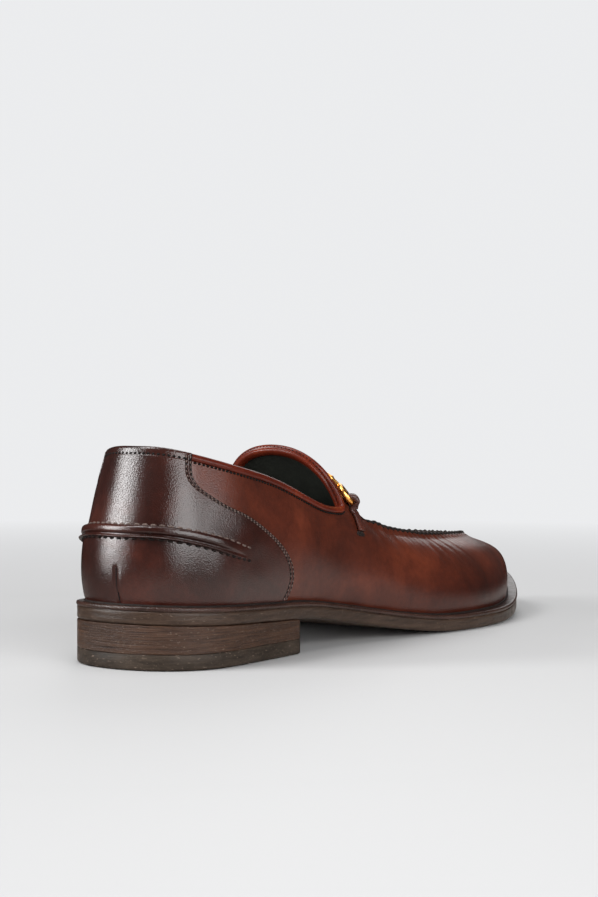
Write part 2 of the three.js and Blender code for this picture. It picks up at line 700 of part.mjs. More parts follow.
// A place on the bit's own line: below the apron seam (s under 0) on the wall, above it on the vamp.
function bitLine(side, s, shift = 0) {
  const slant = TAB_SLANT * Math.min(0, s) + BAR_SLANT * Math.max(0, s - BAR_START);
  const share = BIT_SHARE + shift + slant;
  if (s >= 0) return vampPoint(THROAT, share, side, s);
  const outer = mix(KNOTS[THROAT], KNOTS[THROAT + 1], share);
  return wallPoint(side > 0 ? outer : mirrorDistance(THROAT, share), 1 + s);
}
function acrossBit(side, s) {
  const across = bitLine(side, s, BIT_PROBE).sub(bitLine(side, s, -BIT_PROBE));
  return across.multiplyScalar(side).normalize();
}
function offBit(side, s, stand) {
  const at = bitLine(side, s);
  const along = bitLine(side, s + OVER_PROBE).sub(at);
  return at.addScaledVector(acrossBit(side, s).cross(along).normalize(), stand);
}

// The ring's frame: it lies on the vamp beside the throat.
function ringFrame(side) {
  const surface = bitLine(side, RING_OVER);
  const below = bitLine(side, RING_OVER - RING_REACH);
  const up = bitLine(side, RING_OVER + RING_REACH).sub(below).normalize();
  const out = acrossBit(side, RING_OVER).cross(up).normalize();
  const run = up.clone().cross(out).normalize();
  const at = surface.addScaledVector(out, RING_STAND);
  return { at, up, out, run, side };
}
function ringSolid(frame) {
  const frames = Array.from({ length: RING_SEGMENTS }, (_, k) => {
    const angle = (2 * Math.PI * k) / RING_SEGMENTS;
    const radial = frame.up.clone()
      .multiplyScalar(Math.cos(angle))
      .addScaledVector(frame.run, Math.sin(angle));
    const at = frame.at.clone().addScaledVector(radial, RING_RADIUS);
    return { at, across: radial, over: frame.out };
  });
  return outward(sweep(frames, round(RING_WIRE, WIRE_SEGMENTS), true));
}
function round(radius, count) {
  return Array.from({ length: count }, (_, k) => {
    const angle = (2 * Math.PI * k) / count;
    return [radius * Math.cos(angle), radius * Math.sin(angle)];
  });
}
const ringFrames = { outer: ringFrame(1), inner: ringFrame(-1) };

// Solids that run into each other, joined into one body.
function joined(solids) {
  const bodies = solids.map((solid) => new wasm.Manifold(new wasm.Mesh({
    numProp: 3,
    vertProperties: Float32Array.from(solid.points.flatMap((p) => [p.x, p.y, p.z])),
    triVerts: Uint32Array.from(solid.faces.flat()),
  })));
  const whole = bodies.reduce((all, body) => all.add(body)).getMesh();
  const shape = new THREE.BufferGeometry();
  shape.setAttribute('position', new THREE.BufferAttribute(whole.vertProperties, 3));
  shape.setIndex(new THREE.BufferAttribute(whole.triVerts, 1));
  shape.computeVertexNormals();
  return shape;
}

// The bit is cast in one: the bar runs over the vamp and into the upper wire of both rings.
const BAR_STEPS = 12;
const BAR_END = 0.62;
const BAR_ROUTE = [0.6, 0.72, 0.86];
function bitGeometry() {
  const [first, last] = Object.values(ringFrames).map((frame) => (
    frame.at.clone().addScaledVector(frame.up, RING_RADIUS)
  ));
  const route = new THREE.CatmullRomCurve3([
    first,
    ...BAR_ROUTE.map((over) => offBit(1, over, BAR_STAND)),
    bitLine(1, 1).add(new THREE.Vector3(0, 0, BAR_STAND)),
    ...BAR_ROUTE.map((over) => offBit(-1, over, BAR_STAND)).reverse(),
    last,
  ]);
  const frames = Array.from({ length: BAR_STEPS + 1 }, (_, k) => {
    const t = k / BAR_STEPS;
    const run = route.getTangentAt(t);
    const side = new THREE.Vector3(0, 1, 0).addScaledVector(run, -run.y).normalize();
    const swell = BAR_END + (1 - BAR_END) * Math.sin(Math.PI * t);
    return { at: route.getPointAt(t), across: side, over: run.clone().cross(side), scale: swell };
  });
  const bar = outward(sweep(frames, round(BAR_RADIUS, BAR_SEGMENTS)));
  return joined([bar, ...Object.values(ringFrames).map(ringSolid)]);
}

// A tab: a strap from its slot in the wall, over the ring's wire and down to the vamp inside it.
const TAB_ROUTE = [-0.24, -0.17, -0.1, -0.03, 0.05];
const TAB_TURNS = 6;
const TURN_START = 0.72;
const TURN_SWEEP = 0.82;
function tabGeometry(frame) {
  const half = TAB_WALL / 2;
  const slack = TAB_WIDTH ** 2 / (8 * RING_RADIUS);
  const wire = frame.at.clone().addScaledVector(frame.up, slack / 2 - RING_RADIUS);
  const turn = RING_WIRE + TAB_CLEARANCE + half + slack / 2;
  const path = TAB_ROUTE.map((s) => {
    return { at: offBit(frame.side, s, half + TAB_STAND), across: acrossBit(frame.side, s) };
  });
  for (let k = 0; k <= TAB_TURNS; k += 1) {
    const angle = Math.PI * (TURN_START - (TURN_SWEEP * k) / TAB_TURNS);
    const at = wire.clone()
      .addScaledVector(frame.up, turn * Math.cos(angle))
      .addScaledVector(frame.out, turn * Math.sin(angle));
    path.push({ at, across: frame.run });
  }
  const frames = path.map(({ at, across }, i) => {
    const ahead = path[Math.min(path.length - 1, i + 1)].at;
    const run = ahead.clone().sub(path[Math.max(0, i - 1)].at).normalize();
    return { at, across, over: run.clone().cross(across).normalize() };
  });
  const w = TAB_WIDTH / 2;
  return outward(sweep(frames, [[-w, -half], [w, -half], [w, half], [-w, half]])).geometry();
}

// Finishes
const LEATHER = { color: 0x55281c, roughness: 0.32, metalness: 0 };
const HEEL_LEATHER = { color: 0x3c201a, roughness: 0.26, metalness: 0 };
const BINDING_LEATHER = { color: 0x6e2416, roughness: 0.35, metalness: 0 };
const SOLE_EDGE = { color: 0x2e221f, roughness: 0.5, metalness: 0 };
const STACK_EDGE = { color: 0x4a2b21, roughness: 0.4, metalness: 0 };
const RUBBER = { color: 0x2b2320, roughness: 0.6, metalness: 0 };
const SOCK = { color: 0x20221d, roughness: 0.6, metalness: 0 };
const GOLD = { color: 0xd59a45, roughness: 0.2, metalness: 1 };

const shoe = new THREE.Group();
function piece(name, geometry, finish) {
  const mesh = new THREE.Mesh(geometry, new THREE.MeshStandardMaterial(finish));
  mesh.name = name;
  shoe.add(mesh);
}

piece('upper', upperGeometry(), LEATHER);
piece('heel_counter', counterGeometry(), HEEL_LEATHER);
piece('topline_binding', bindingGeometry(), BINDING_LEATHER);
piece('insole', insoleGeometry(), SOCK);
piece('welt', weltGeometry(), SOLE_EDGE);
piece('outsole', outsoleGeometry(), SOLE_EDGE);
piece('heel_stack', heelStackGeometry(), STACK_EDGE);
piece('top_lift', topLiftGeometry(), RUBBER);
for (const [side, frame] of Object.entries(ringFrames)) {
  piece(`strap_tab_${side}`, tabGeometry(frame), LEATHER);
}
piece('bit', bitGeometry(), GOLD);

shoe.position.set(0, -HEEL_LENGTH / 2, 0);
export default shoe;
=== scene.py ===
import math

import bpy
import numpy as np
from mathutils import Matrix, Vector


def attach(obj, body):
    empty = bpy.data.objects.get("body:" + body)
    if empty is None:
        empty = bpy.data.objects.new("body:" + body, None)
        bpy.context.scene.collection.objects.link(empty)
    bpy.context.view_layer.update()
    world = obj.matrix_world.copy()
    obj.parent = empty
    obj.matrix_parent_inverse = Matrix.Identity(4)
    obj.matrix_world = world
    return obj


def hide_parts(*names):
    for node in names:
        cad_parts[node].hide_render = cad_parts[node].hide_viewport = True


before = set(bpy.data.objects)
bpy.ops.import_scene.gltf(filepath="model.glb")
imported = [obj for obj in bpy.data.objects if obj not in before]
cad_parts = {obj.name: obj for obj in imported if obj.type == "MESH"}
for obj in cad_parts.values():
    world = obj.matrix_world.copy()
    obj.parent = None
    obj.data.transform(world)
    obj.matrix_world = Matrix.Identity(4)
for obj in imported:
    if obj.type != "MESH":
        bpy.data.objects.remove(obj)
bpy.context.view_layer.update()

# Sizes in millimetres, the same as the solids'. Lengths are worked out from the back of the heel,
# and Parts.make moves every mesh to the part's origin.
SOLE_LENGTH, BALL_WIDTH, HEEL_WIDTH, HEEL_LENGTH = 298, 103, 68, 75
HEEL_HEIGHT, SHANK_HEIGHT, TOP_LIFT = 17, 13.5, 5.9
TREAD_START, TREAD_END, TOE_SPRING = 183, 208, 11
OUTSOLE, WELT, WELT_EDGE = 5.1, 1.4, 4.6
BACK_HEIGHT, INSTEP_HEIGHT, UPPER_WALL = 60, 65, 2.2
COUNTER_STAND, INSOLE_RISE, GAP = 1.6, 2.4, 0.3
RING_RADIUS, RING_WIRE, BAR_RADIUS = 4.2, 1, 1.5
TAB_WIDTH, TAB_WALL = 4.4, 1
# Numbers of the sections at the throat and where the vamp's sections begin to meet at the toe.
THROAT, TOE_FAN = 8, 13

# The sections round the edge of the sole, from the back of the heel to the tip of the toe. Lengths
# are shares of the sole's length, the section's width or the upper's height. In each row: place
# along, reach to the outer and inner side; the rim's place, its two reaches and its rise; the
# welt's step; the wall's lower handle, out and up, and its upper one.
HEEL_ROWS = [
    (0, 0, 0, 0.045, 0, 0, 0.972, 1.07, 0.057, 0.28, 0.08, 0.62),
    (0.0097, 0.228, 0.228, 0.051, 0.15, 0.15, 0.968, 1.07, 0.057, 0.28, 0.08, 0.62),
    (0.0376, 0.393, 0.393, 0.07, 0.268, 0.268, 0.942, 1.07, 0.057, 0.28, 0.078, 0.62),
    (0.0805, 0.48, 0.48, 0.1, 0.342, 0.342, 0.907, 1, 0.056, 0.29, 0.074, 0.62),
    (0.1409, 0.5, 0.5, 0.144, 0.398, 0.398, 0.861, 0.9, 0.054, 0.3, 0.066, 0.63),
    (0.2215, 0.5, 0.488, 0.206, 0.422, 0.422, 0.801, 0.8, 0.054, 0.32, 0.064, 0.65),
]
FORE_ROWS = [
    (0.3087, 0.328, 0.297, 0.2819, 0.284, 0.284, 0.645, 0.72, 0.044, 0.34, 0.05, 0.68),
    (0.352, 0.336, 0.288, 0.341, 0.281, 0.281, 0.596, 0.7, 0.046, 0.36, 0.058, 0.71),
    (0.396, 0.355, 0.285, 0.389, 0.275, 0.275, 0.61, 0.7, 0.049, 0.38, 0.066, 0.74),
    (0.4899, 0.419, 0.336, 0.4732, 0.272, 0.272, 0.556, 0.78, 0.045, 0.42, 0.083, 0.82),
    (0.5872, 0.482, 0.427, 0.5604, 0.277, 0.282, 0.526, 0.91, 0.039, 0.45, 0.092, 0.87),
    (0.6812, 0.505, 0.487, 0.6376, 0.277, 0.291, 0.498, 1, 0.035, 0.47, 0.107, 0.89),
    (0.7752, 0.462, 0.489, 0.7148, 0.252, 0.286, 0.478, 1, 0.029, 0.5, 0.126, 0.89),
    (0.8624, 0.357, 0.423, 0.7819, 0.199, 0.257, 0.448, 1, 0.023, 0.52, 0.155, 0.87),
    (0.9362, 0.228, 0.325, 0.8255, 0.121, 0.199, 0.411, 1, 0.019, 0.54, 0.189, 0.84),
    (0.9849, 0.092, 0.209, 0.8473, 0.034, 0.116, 0.392, 1, 0.017, 0.55, 0.214, 0.82),
    (1, -0.058, 0.058, 0.8523, -0.049, 0.049, 0.388, 1, 0.017, 0.55, 0.223, 0.81),
]
# In each section: the place on the vamp's middle line, and how the vamp leaves its side, inwards
# and upwards.
VAMP_ROWS = ([(0, 0.06, 0.39)] * 8
             + [(0, 0.05, 0.45), (0.245, 0.13, 0.26), (0.48, 0.22, 0.34), (0.68, 0.28, 0.38),
                (0.85, 0.3, 0.42)] + [(1, 0.3, 0.45)] * 4)
# The vamp's middle line: to the side, along and up.
CROWN = [(0, 0.357, 0.978), (0, 0.4497, 0.69), (-0.005, 0.5503, 0.605),
         (-0.015, 0.6376, 0.545), (-0.025, 0.7114, 0.503), (-0.034, 0.7718, 0.47)]
# The counter's front edge: height on the wall, and distance round from the back in heel lengths.
COUNTER_EDGE = np.array([
    (0, 1.175), (0.15, 1.223), (0.26, 1.229), (0.36, 1.203), (0.467, 1.133), (0.546, 1.044),
    (0.671, 0.819), (0.717, 0.659), (0.762, 0.552), (0.808, 0.471), (0.862, 0.431), (1, 0.425)])
# The raised seam across the counter: distance round, and height of its lower and upper foot.
RIDGE = np.array([
    (0, 0.466, 0.548), (0.2, 0.467, 0.549), (0.31, 0.462, 0.546), (0.44, 0.441, 0.532),
    (0.63, 0.391, 0.496), (0.8, 0.358, 0.445), (1.3, 0.28, 0.345)])

# The shape of the last


def sole_bottom(y):
    s = np.clip((TREAD_START - y) / (TREAD_START - HEEL_LENGTH), 0, 1)
    shank = SHANK_HEIGHT * (2.5 * s**2 - 1.5 * s**3)
    seat = HEEL_HEIGHT + (SHANK_HEIGHT - HEEL_HEIGHT) * np.clip(y, 0, HEEL_LENGTH) / HEEL_LENGTH
    toe = TOE_SPRING * np.clip((y - TREAD_END) / (SOLE_LENGTH - TREAD_END), 0, 1) ** 2
    return np.where(y <= HEEL_LENGTH, seat, np.where(y < TREAD_START, shank, toe))


def welt_top(y):
    return sole_bottom(y) + OUTSOLE + GAP + WELT


# One row of lengths for each section of the loop, up the outer side and back down the inner side.
SECTIONS = ([(r, HEEL_WIDTH, BACK_HEIGHT) for r in HEEL_ROWS]
            + [(r, BALL_WIDTH, INSTEP_HEIGHT) for r in FORE_ROWS])
LAST = len(SECTIONS) - 1
LOOP = 2 * LAST
RIM = slice(2, 5)
EDGE, LOW_OUT, LOW_UP, HIGH_OUT, HIGH_UP, CROWN_AT, SIDE_IN, SIDE_UP = range(5, 13)
values = []
for k in range(LOOP):
    outer = k <= LAST
    section = k if outer else LOOP - k
    r, width, height = SECTIONS[section]
    rim_y = r[3] * SOLE_LENGTH
    values.append((
        (r[1] if outer else -r[2]) * width, r[0] * SOLE_LENGTH,
        (r[4] if outer else -r[5]) * width, rim_y, float(welt_top(rim_y)) + r[6] * height,
        r[7] * WELT_EDGE, r[8] * width, r[9], r[10] * width, r[11], *VAMP_ROWS[section]))
values = np.array(values)
chords = np.linalg.norm(np.roll(values, -1, 0)[:, :2] - values[:, :2], axis=1)
KNOTS = np.concatenate([[0], np.cumsum(chords)])
LENGTH = KNOTS[-1]
steps = np.diff(KNOTS)
matrix, right = np.zeros((LOOP, LOOP)), np.zeros_like(values)
for i in range(LOOP):
    a, b, j = steps[i - 1], steps[i], (i + 1) % LOOP
    matrix[i, i - 1] += a
    matrix[i, i] += 2 * (a + b)
    matrix[i, j] += b
    right[i] = 6 * ((values[j] - values[i]) / b - (values[i] - values[i - 1]) / a)
bends = np.linalg.solve(matrix, right)


def spline(q):
    """The sections' lengths at a distance round the sole, from the back of the heel."""
    q = np.mod(q, LENGTH)
    i = np.clip(np.searchsorted(KNOTS, q, side="right") - 1, 0, LOOP - 1)
    j = (i + 1) % LOOP
    h, a, b = steps[i][..., None], (KNOTS[i + 1] - q)[..., None], (q - KNOTS[i])[..., None]
    return (bends[i] * a**3 / (6 * h) + bends[j] * b**3 / (6 * h)
            + (values[i] / h - bends[i] * h / 6) * a + (values[j] / h - bends[j] * h / 6) * b)


def station(q):
    """The same, with the outward direction seen from above."""
    v = spline(q)
    t = (spline(q + 0.01) - spline(q - 0.01))[..., :2]
    t /= np.linalg.norm(t, axis=-1, keepdims=True)
    return v, np.stack([t[..., 1], -t[..., 0]], -1)


def at_height(p, z):
    return np.concatenate([p, z[..., None]], -1)


def outline(q, inset):
    v, n = station(q)
    return v[..., :2] - n * np.asarray(inset)[..., None]


def bezier(a, b, c, d, t):
    t = t[..., None]
    return (1 - t) ** 3 * a + 3 * (1 - t) ** 2 * t * b + 3 * (1 - t) * t**2 * c + t**3 * d


def wall(q, up):
    """The wall of the last, from the welt (up = 0) to the rim (up = 1)."""
    q, up = np.broadcast_arrays(np.asarray(q, float), np.asarray(up, float))
    v, n = station(q)
    foot = v[..., :2] - n * v[..., [EDGE]]
    z0 = welt_top(foot[..., 1]) + GAP
    end = v[..., RIM]
    rise = end[..., 2] - z0
    low = at_height(foot + n * v[..., [LOW_OUT]], z0 + rise * v[..., LOW_UP])
    high = at_height(end[..., :2] + n * v[..., [HIGH_OUT]], z0 + rise * v[..., HIGH_UP])
    return bezier(at_height(foot, z0), low, high, end, up)


def curve(places, rows, at):
    """A smooth reading of a table whose rows stand at rising places."""
    slopes = np.diff(rows, axis=0) / np.diff(places)[:, None]
    slopes = np.vstack([slopes[:1], (slopes[:-1] + slopes[1:]) / 2, slopes[-1:]])
    i = np.clip(np.searchsorted(places, at, side="right") - 1, 0, len(places) - 2)
    h = (places[i + 1] - places[i])[..., None]
    t = np.clip((at - places[i])[..., None] / h, 0, 1)
    return ((2 * t**3 - 3 * t**2 + 1) * rows[i] + (t**3 - 2 * t**2 + t) * h * slopes[i]
            + (3 * t**2 - 2 * t**3) * rows[i + 1] + (t**3 - t**2) * h * slopes[i + 1])


crown_rows = np.array([(side * BALL_WIDTH, along * SOLE_LENGTH, rise * INSTEP_HEIGHT)
                       for side, along, rise in CROWN])
crown_rows[:, 2] += welt_top(crown_rows[:, 1])


def crown(place):
    """The vamp's middle line, from the throat (0) to the end of the apron (1)."""
    along = crown_rows[:, 1]
    y = along[0] + np.clip(place, 0, 1) * (along[-1] - along[0])
    p = curve(along, crown_rows[:, [0, 2]], y)
    return np.stack([p[..., 0], y, p[..., 1]], -1)


def distance(section, side):
    """How far round the sole a section is, on the outer (1) or the inner side (-1)."""
    section = np.asarray(section, float)
    return np.interp(section if side > 0 else LOOP - section, np.arange(LOOP + 1), KNOTS)


def vamp(section, side, over):
    """The closed part of the upper, from its side (over = 0) to the middle line (over = 1)."""
    section, over = np.broadcast_arrays(np.asarray(section, float), np.asarray(over, float))
    v = spline(distance(section, side))
    place = np.clip((v[..., CROWN_AT] + spline(distance(section, -side))[..., CROWN_AT]) / 2, 0, 1)
    place = np.where(section >= TOE_FAN, 1, place)
    start, end = v[..., RIM], crown(place)
    span = end - start
    a, b = crown(np.clip(place - 0.002, 0, 1)), crown(np.clip(place + 0.002, 0, 1))
    slope = (b[..., 2] - a[..., 2]) / (b[..., 1] - a[..., 1])
    side_in, side_up = v[..., SIDE_IN], v[..., SIDE_UP]
    rise = start + np.stack([span[..., 0] * side_in, span[..., 1] * np.maximum(side_in, side_up),
                             span[..., 2] * side_up], -1)
    back = np.where(place > 0, 0.4 * span[..., 1], 0)
    crest = end - np.stack([span[..., 0] * 0.7, back, back * slope], -1)
    return bezier(start, rise, crest, end, over)


def unit(v):
    return v / np.maximum(np.linalg.norm(v, axis=-1, keepdims=True), 1e-9)


def wall_normal(q, up):
    along = wall(q + 0.3, up) - wall(q - 0.3, up)
    return unit(np.cross(along, wall(q, up + 0.004) - wall(q, up - 0.004)))


def vamp_normal(section, side, over):
    over = np.where(section >= TOE_FAN, np.minimum(over, 0.96), over)
    along = vamp(section + 0.02, side, over) - vamp(section - 0.02, side, over)
    across = vamp(section, side, over + 0.01) - vamp(section, side, over - 0.01)
    return unit(np.cross(along, across)) * side


def smooth(t):
    t = np.clip(t, 0, 1)
    return t * t * (3 - 2 * t)


def bump(x, centre, width):
    return np.exp(-(((x - centre) / width) ** 2))


def between(rows, at):
    """The rows, or single numbers, at fractional places of their list."""
    k = np.arange(len(rows))
    if rows.ndim == 1:
        return np.interp(at, k, rows)
    return np.stack([np.interp(at, k, column) for column in rows.T], 1)


def even(points, pitch):
    """Places an even distance apart along a line of points, and where they are in its list."""
    run = np.concatenate([[0], np.cumsum(np.linalg.norm(np.diff(points, axis=0), axis=1))])
    at = np.linspace(0, run[-1], max(2, int(round(run[-1] / pitch)) + 1))
    places = np.stack([np.interp(at, run, column) for column in points.T], 1)
    return places, np.interp(at, run, np.arange(len(run)))


# Meshes


def added(name, data):
    thing = bpy.data.objects.new(name, data)
    bpy.context.scene.collection.objects.link(thing)
    return thing


class Parts:
    """Several grids joined into one mesh."""

    def __init__(self):
        self.points, self.faces, self.count = [], [], 0

    def add(self, p, wrap=False, flip=False):
        """Rows of points; a wrapped grid joins its last column to its first."""
        r, c = p.shape[:2]
        i, j = np.meshgrid(np.arange(r - 1), np.arange(c if wrap else c - 1), indexing="ij")
        k = (j + 1) % c
        quads = np.stack([i * c + j, i * c + k, (i + 1) * c + k, (i + 1) * c + j], -1)
        quads = quads.reshape(-1, 4) + self.count
        self.faces += (quads[:, ::-1] if flip else quads).tolist()
        self.points.append(p.reshape(-1, 3))
        self.count += r * c
        return self

    def cap(self, ring, flip=False):
        """One flat face over a ring of points."""
        n = len(ring)
        self.faces.append(list(range(self.count, self.count + n))[:: -1 if flip else 1])
        self.points.append(ring)
        self.count += n
        return self

    def make(self, name, material, slot, *replaced):
        """One piece: equal points are joined, and faces that shrink to a line are dropped."""
        points = np.vstack(self.points)
        _, index, back = np.unique(np.round(points, 4), axis=0, return_index=True,
                                   return_inverse=True)
        back = back.reshape(-1)
        faces = [tuple(dict.fromkeys(int(back[i]) for i in f)) for f in self.faces]
        used = points[index]
        used[:, 1] -= HEEL_LENGTH / 2
        mesh = bpy.data.meshes.new(name)
        mesh.from_pydata((used / 1000).tolist(), [], [f for f in faces if len(f) > 2])
        mesh.validate()
        mesh.materials.append(material)
        mesh.shade_smooth()
        piece = added(name, mesh)
        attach(piece, "root")
        if replaced:
            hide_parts(*replaced)


def swept(centres, across, over, section):
    """Rows of a section carried along a line; the section may change from place to place."""
    section = np.asarray(section, float)
    if section.ndim == 2:
        section = np.broadcast_to(section, (len(centres), *section.shape))
    return centres[:, None] + across[:, None] * section[..., :1] + over[:, None] * section[..., 1:2]


def tangents(p):
    return unit(np.gradient(p, axis=0))


def circle(count, a=1, b=1):
    """Points round a circle or an ellipse."""
    t = np.linspace(0, 2 * np.pi, count, endpoint=False)
    return np.stack([a * np.cos(t), b * np.sin(t)], 1)


# A stitch's rings: place along its half length, and radius.
STITCH_RINGS = ((-1, 0.05), (-0.9, 0.45), (-0.6, 0.82), (-0.15, 1),
                (0.3, 0.97), (0.7, 0.75), (0.93, 0.4), (1, 0.05))
STITCH = np.array([np.column_stack([np.full(8, s), circle(8, r, r)]) for s, r in STITCH_RINGS])


def stitches(parts, places, along, out, size, tilt=0):
    """A row of sewn stitches: short thread capsules lying on the leather, of one size."""
    length, width, height = size
    along, out = unit(along), unit(out)
    along = unit(along + unit(np.cross(out, along)) * tilt)
    side = unit(np.cross(out, along))
    # a stitch bends, so that its ends go into the leather
    bent = STITCH[..., 2:3] * height / 2 + (0.4 - STITCH[..., :1] ** 2) * height * 0.35
    run, wide = STITCH[..., :1] * length / 2, STITCH[..., 1:2] * width / 2
    for p, t, s, n in zip(places, along, side, out):
        parts.add(p + t * run + s * wide + n * bent, wrap=True)


def cord_on(parts, line, normals, half_width, half_height):
    """A flattened cord laid along a line on the leather."""
    across = unit(np.cross(normals, tangents(line)))
    parts.add(swept(line, across, normals, circle(8, half_width, half_height)), wrap=True)


# Materials. Bump depths and noise scales are in metres.
COLOR_A, COLOR_B, COLOR_OUT = 6, 7, 2


def shader(name, color, rough, metal=0, coat=0, coat_rough=0.1, specular=0.5):
    m = bpy.data.materials.new(name)
    m.use_nodes = True
    b = m.node_tree.nodes["Principled BSDF"]
    for socket, value in (("Base Color", (*color, 1)), ("Roughness", rough), ("Metallic", metal),
                          ("Coat Weight", coat), ("Coat Roughness", coat_rough),
                          ("Specular IOR Level", specular)):
        b.inputs[socket].default_value = value
    return m, m.node_tree, b


def node(tree, kind, **set_to):
    """A new node. Each name is a property or an input, for a number or another node's output."""
    n = tree.nodes.new(kind)
    for key, value in set_to.items():
        if isinstance(value, bpy.types.NodeSocket):
            tree.links.new(value, n.inputs[key])
        elif key in n.inputs:
            n.inputs[key].default_value = value
        else:
            setattr(n, key, value)
    return n


def mapped(tree, value, low, high, to_low=0, to_high=1):
    ends = {"From Min": low, "From Max": high, "To Min": to_low, "To Max": to_high}
    return node(tree, "ShaderNodeMapRange", Value=value, **ends).outputs["Result"]


def placed(tree):
    return node(tree, "ShaderNodeTexCoord").outputs["Object"]


def along_axis(tree, axis):
    return node(tree, "ShaderNodeSeparateXYZ", Vector=placed(tree)).outputs[axis]


def noise(tree, scale, detail=3, rough=0.55, stretch=None, distort=0):
    place = placed(tree)
    if stretch:
        place = node(tree, "ShaderNodeMapping", Vector=place, Scale=stretch).outputs["Vector"]
    return node(tree, "ShaderNodeTexNoise", Vector=place, Scale=scale, Detail=detail,
                Roughness=rough, Distortion=distort).outputs["Fac"]


def cells(tree, scale):
    return node(tree, "ShaderNodeTexVoronoi", Vector=placed(tree), Scale=scale).outputs["Distance"]


def ramp(tree, fac, *stops):
    """Stops are (place, colour or grey value)."""
    r = node(tree, "ShaderNodeValToRGB", Fac=fac)
    while len(r.color_ramp.elements) < len(stops):
        r.color_ramp.elements.new(0.5)
    for e, (at, c) in zip(r.color_ramp.elements, stops):
        e.position = at
        e.color = (*c, 1) if isinstance(c, tuple) else (c, c, c, 1)
    return r.outputs["Color"]


def mixed(tree, fac, a, b, blend="MIX"):
    m = node(tree, "ShaderNodeMix", data_type="RGBA", blend_type=blend, Factor=fac)
    for socket, value in ((m.inputs[COLOR_A], a), (m.inputs[COLOR_B], b)):
        if isinstance(value, tuple):
            socket.default_value = (*value, 1)
        else:
            tree.links.new(value, socket)
    return m.outputs[COLOR_OUT]


def dressed(tree, b, color, rough, *layers):
    """Colour, roughness and bumps: layers of (height, strength, depth), the finest last."""
    tree.links.new(color, b.inputs["Base Color"])
    if rough:
        tree.links.new(rough, b.inputs["Roughness"])
    last = None
    for height, strength, depth in layers:
        n = node(tree, "ShaderNodeBump", Strength=strength, Distance=depth, Height=height)
        if last:
            tree.links.new(last, n.inputs["Normal"])
        last = n.outputs["Normal"]
    tree.links.new(last, b.inputs["Normal"])
    tree.links.new(last, b.inputs["Coat Normal"])


def leather(name, dark, mid, light, rough, coat, coat_rough, grain=0.28, cloud=34, bands=(),
            specular=0.25):
    """Smooth burnished calf: cloudy dye, fine pores, a waxed coat.

    A band multiplies the colour by its factor up to its low end along an axis, and leaves it alone
    from its high end on.
    """
    m, tree, b = shader(name, mid, sum(rough) / 2, 0, coat, coat_rough, specular)
    clouds = noise(tree, cloud, 4, 0.6, distort=0.4)
    color = ramp(tree, clouds, (0.3, dark), (0.52, mid), (0.74, light))
    speck = ramp(tree, noise(tree, 420, 3, 0.6), (0.35, 0.82), (0.65, 1))
    color = mixed(tree, 1, color, speck, "MULTIPLY")
    for low, high, factor, axis in bands:
        share = mapped(tree, along_axis(tree, axis), low, high)
        color = mixed(tree, share, mixed(tree, 1, color, factor, "MULTIPLY"), color)
    streaks = ramp(tree, noise(tree, 60, 3, 0.6), (0.3, rough[0]), (0.7, rough[1]))
    dressed(tree, b, color, streaks, (noise(tree, 45, 2), 0.12, 0.0011),
            (noise(tree, 260, 3, 0.5), grain * 0.07, 0.0002),
            (noise(tree, 1900, 2, 0.6), grain * 0.95, 0.00008),
            (cells(tree, 2000), grain * 0.95, 0.000085))
    return m


# The upper's colour is darker below 26 mm above the ground, fully so below 17 mm: painted shade
# where the upper goes down to the rand.
UPPER_LEATHER = leather(
    "oxblood_calf", (0.034, 0.0085, 0.005), (0.064, 0.0135, 0.0064), (0.104, 0.022, 0.0094),
    (0.38, 0.52), 0.6, 0.22, grain=0.5, specular=0.04,
    bands=[(0.017, 0.026, (0.62, 0.58, 0.6), "Z")])
COUNTER_LEATHER = leather(
    "dark_burnished_calf", (0.0115, 0.0036, 0.0027), (0.0225, 0.006, 0.0042),
    (0.045, 0.0112, 0.007), (0.3, 0.44), 0.74, 0.165, grain=0.62, specular=0.045,
    bands=[(0.02, 0.034, (1.12, 0.85, 0.72), "Z"), (0.034, -0.012, (1.75, 1.45, 1.2), "Y")])
BINDING_LEATHER = leather(
    "red_brown_binding", (0.05, 0.0068, 0.0031), (0.088, 0.0115, 0.0045), (0.138, 0.0205, 0.0068),
    (0.34, 0.46), 0.2, 0.18, cloud=60, specular=0.1)
TAB_LEATHER = leather(
    "strap_calf", (0.03, 0.008, 0.0052), (0.048, 0.012, 0.0075), (0.072, 0.018, 0.01),
    (0.34, 0.46), 0.2, 0.25, cloud=90)


def lining_leather():
    m, tree, b = shader("dark_lining", (0.012, 0.0135, 0.0105), 0.55)
    color = ramp(tree, noise(tree, 55, 4, 0.6),
                 (0.3, (0.0065, 0.0078, 0.0058)), (0.7, (0.021, 0.0235, 0.018)))
    dressed(tree, b, color, None,
            (noise(tree, 75, 3, 0.5, stretch=(1, 1, 0.35), distort=0.6), 0.5, 0.0012),
            (noise(tree, 320, 4, 0.6), 0.35, 0.0003), (cells(tree, 1300), 0.25, 0.0001))
    return m


SPOT_COLOR = (0.17, 0.125, 0.095)


def edge_leather(name, dark, light, rough, stretch, strength, coat, spots=0):
    """A cut and waxed edge: fine lines along it, pale spots, small nicks."""
    m, tree, b = shader(name, dark, rough, 0, coat, 0.25, 0.06)
    lines = noise(tree, 70, 6, 0.78, stretch=stretch)
    color = mixed(tree, 1, ramp(tree, lines, (0.34, dark), (0.66, light)),
                  ramp(tree, noise(tree, 26, 2), (0.3, 0.62), (0.7, 1.15)), "MULTIPLY")
    if spots:
        fine = noise(tree, 620, 3, 0.6, stretch=(1, 1, 2.6))
        color = mixed(tree, ramp(tree, fine, (0.62, 0), (0.72, spots)), color, SPOT_COLOR)
    worn = ramp(tree, noise(tree, 180, 3), (0.3, rough - 0.1), (0.7, rough + 0.12))
    dressed(tree, b, color, worn, (lines, strength, 0.00035),
            (noise(tree, 700, 3, 0.6), 0.45, 0.00014))
    return m


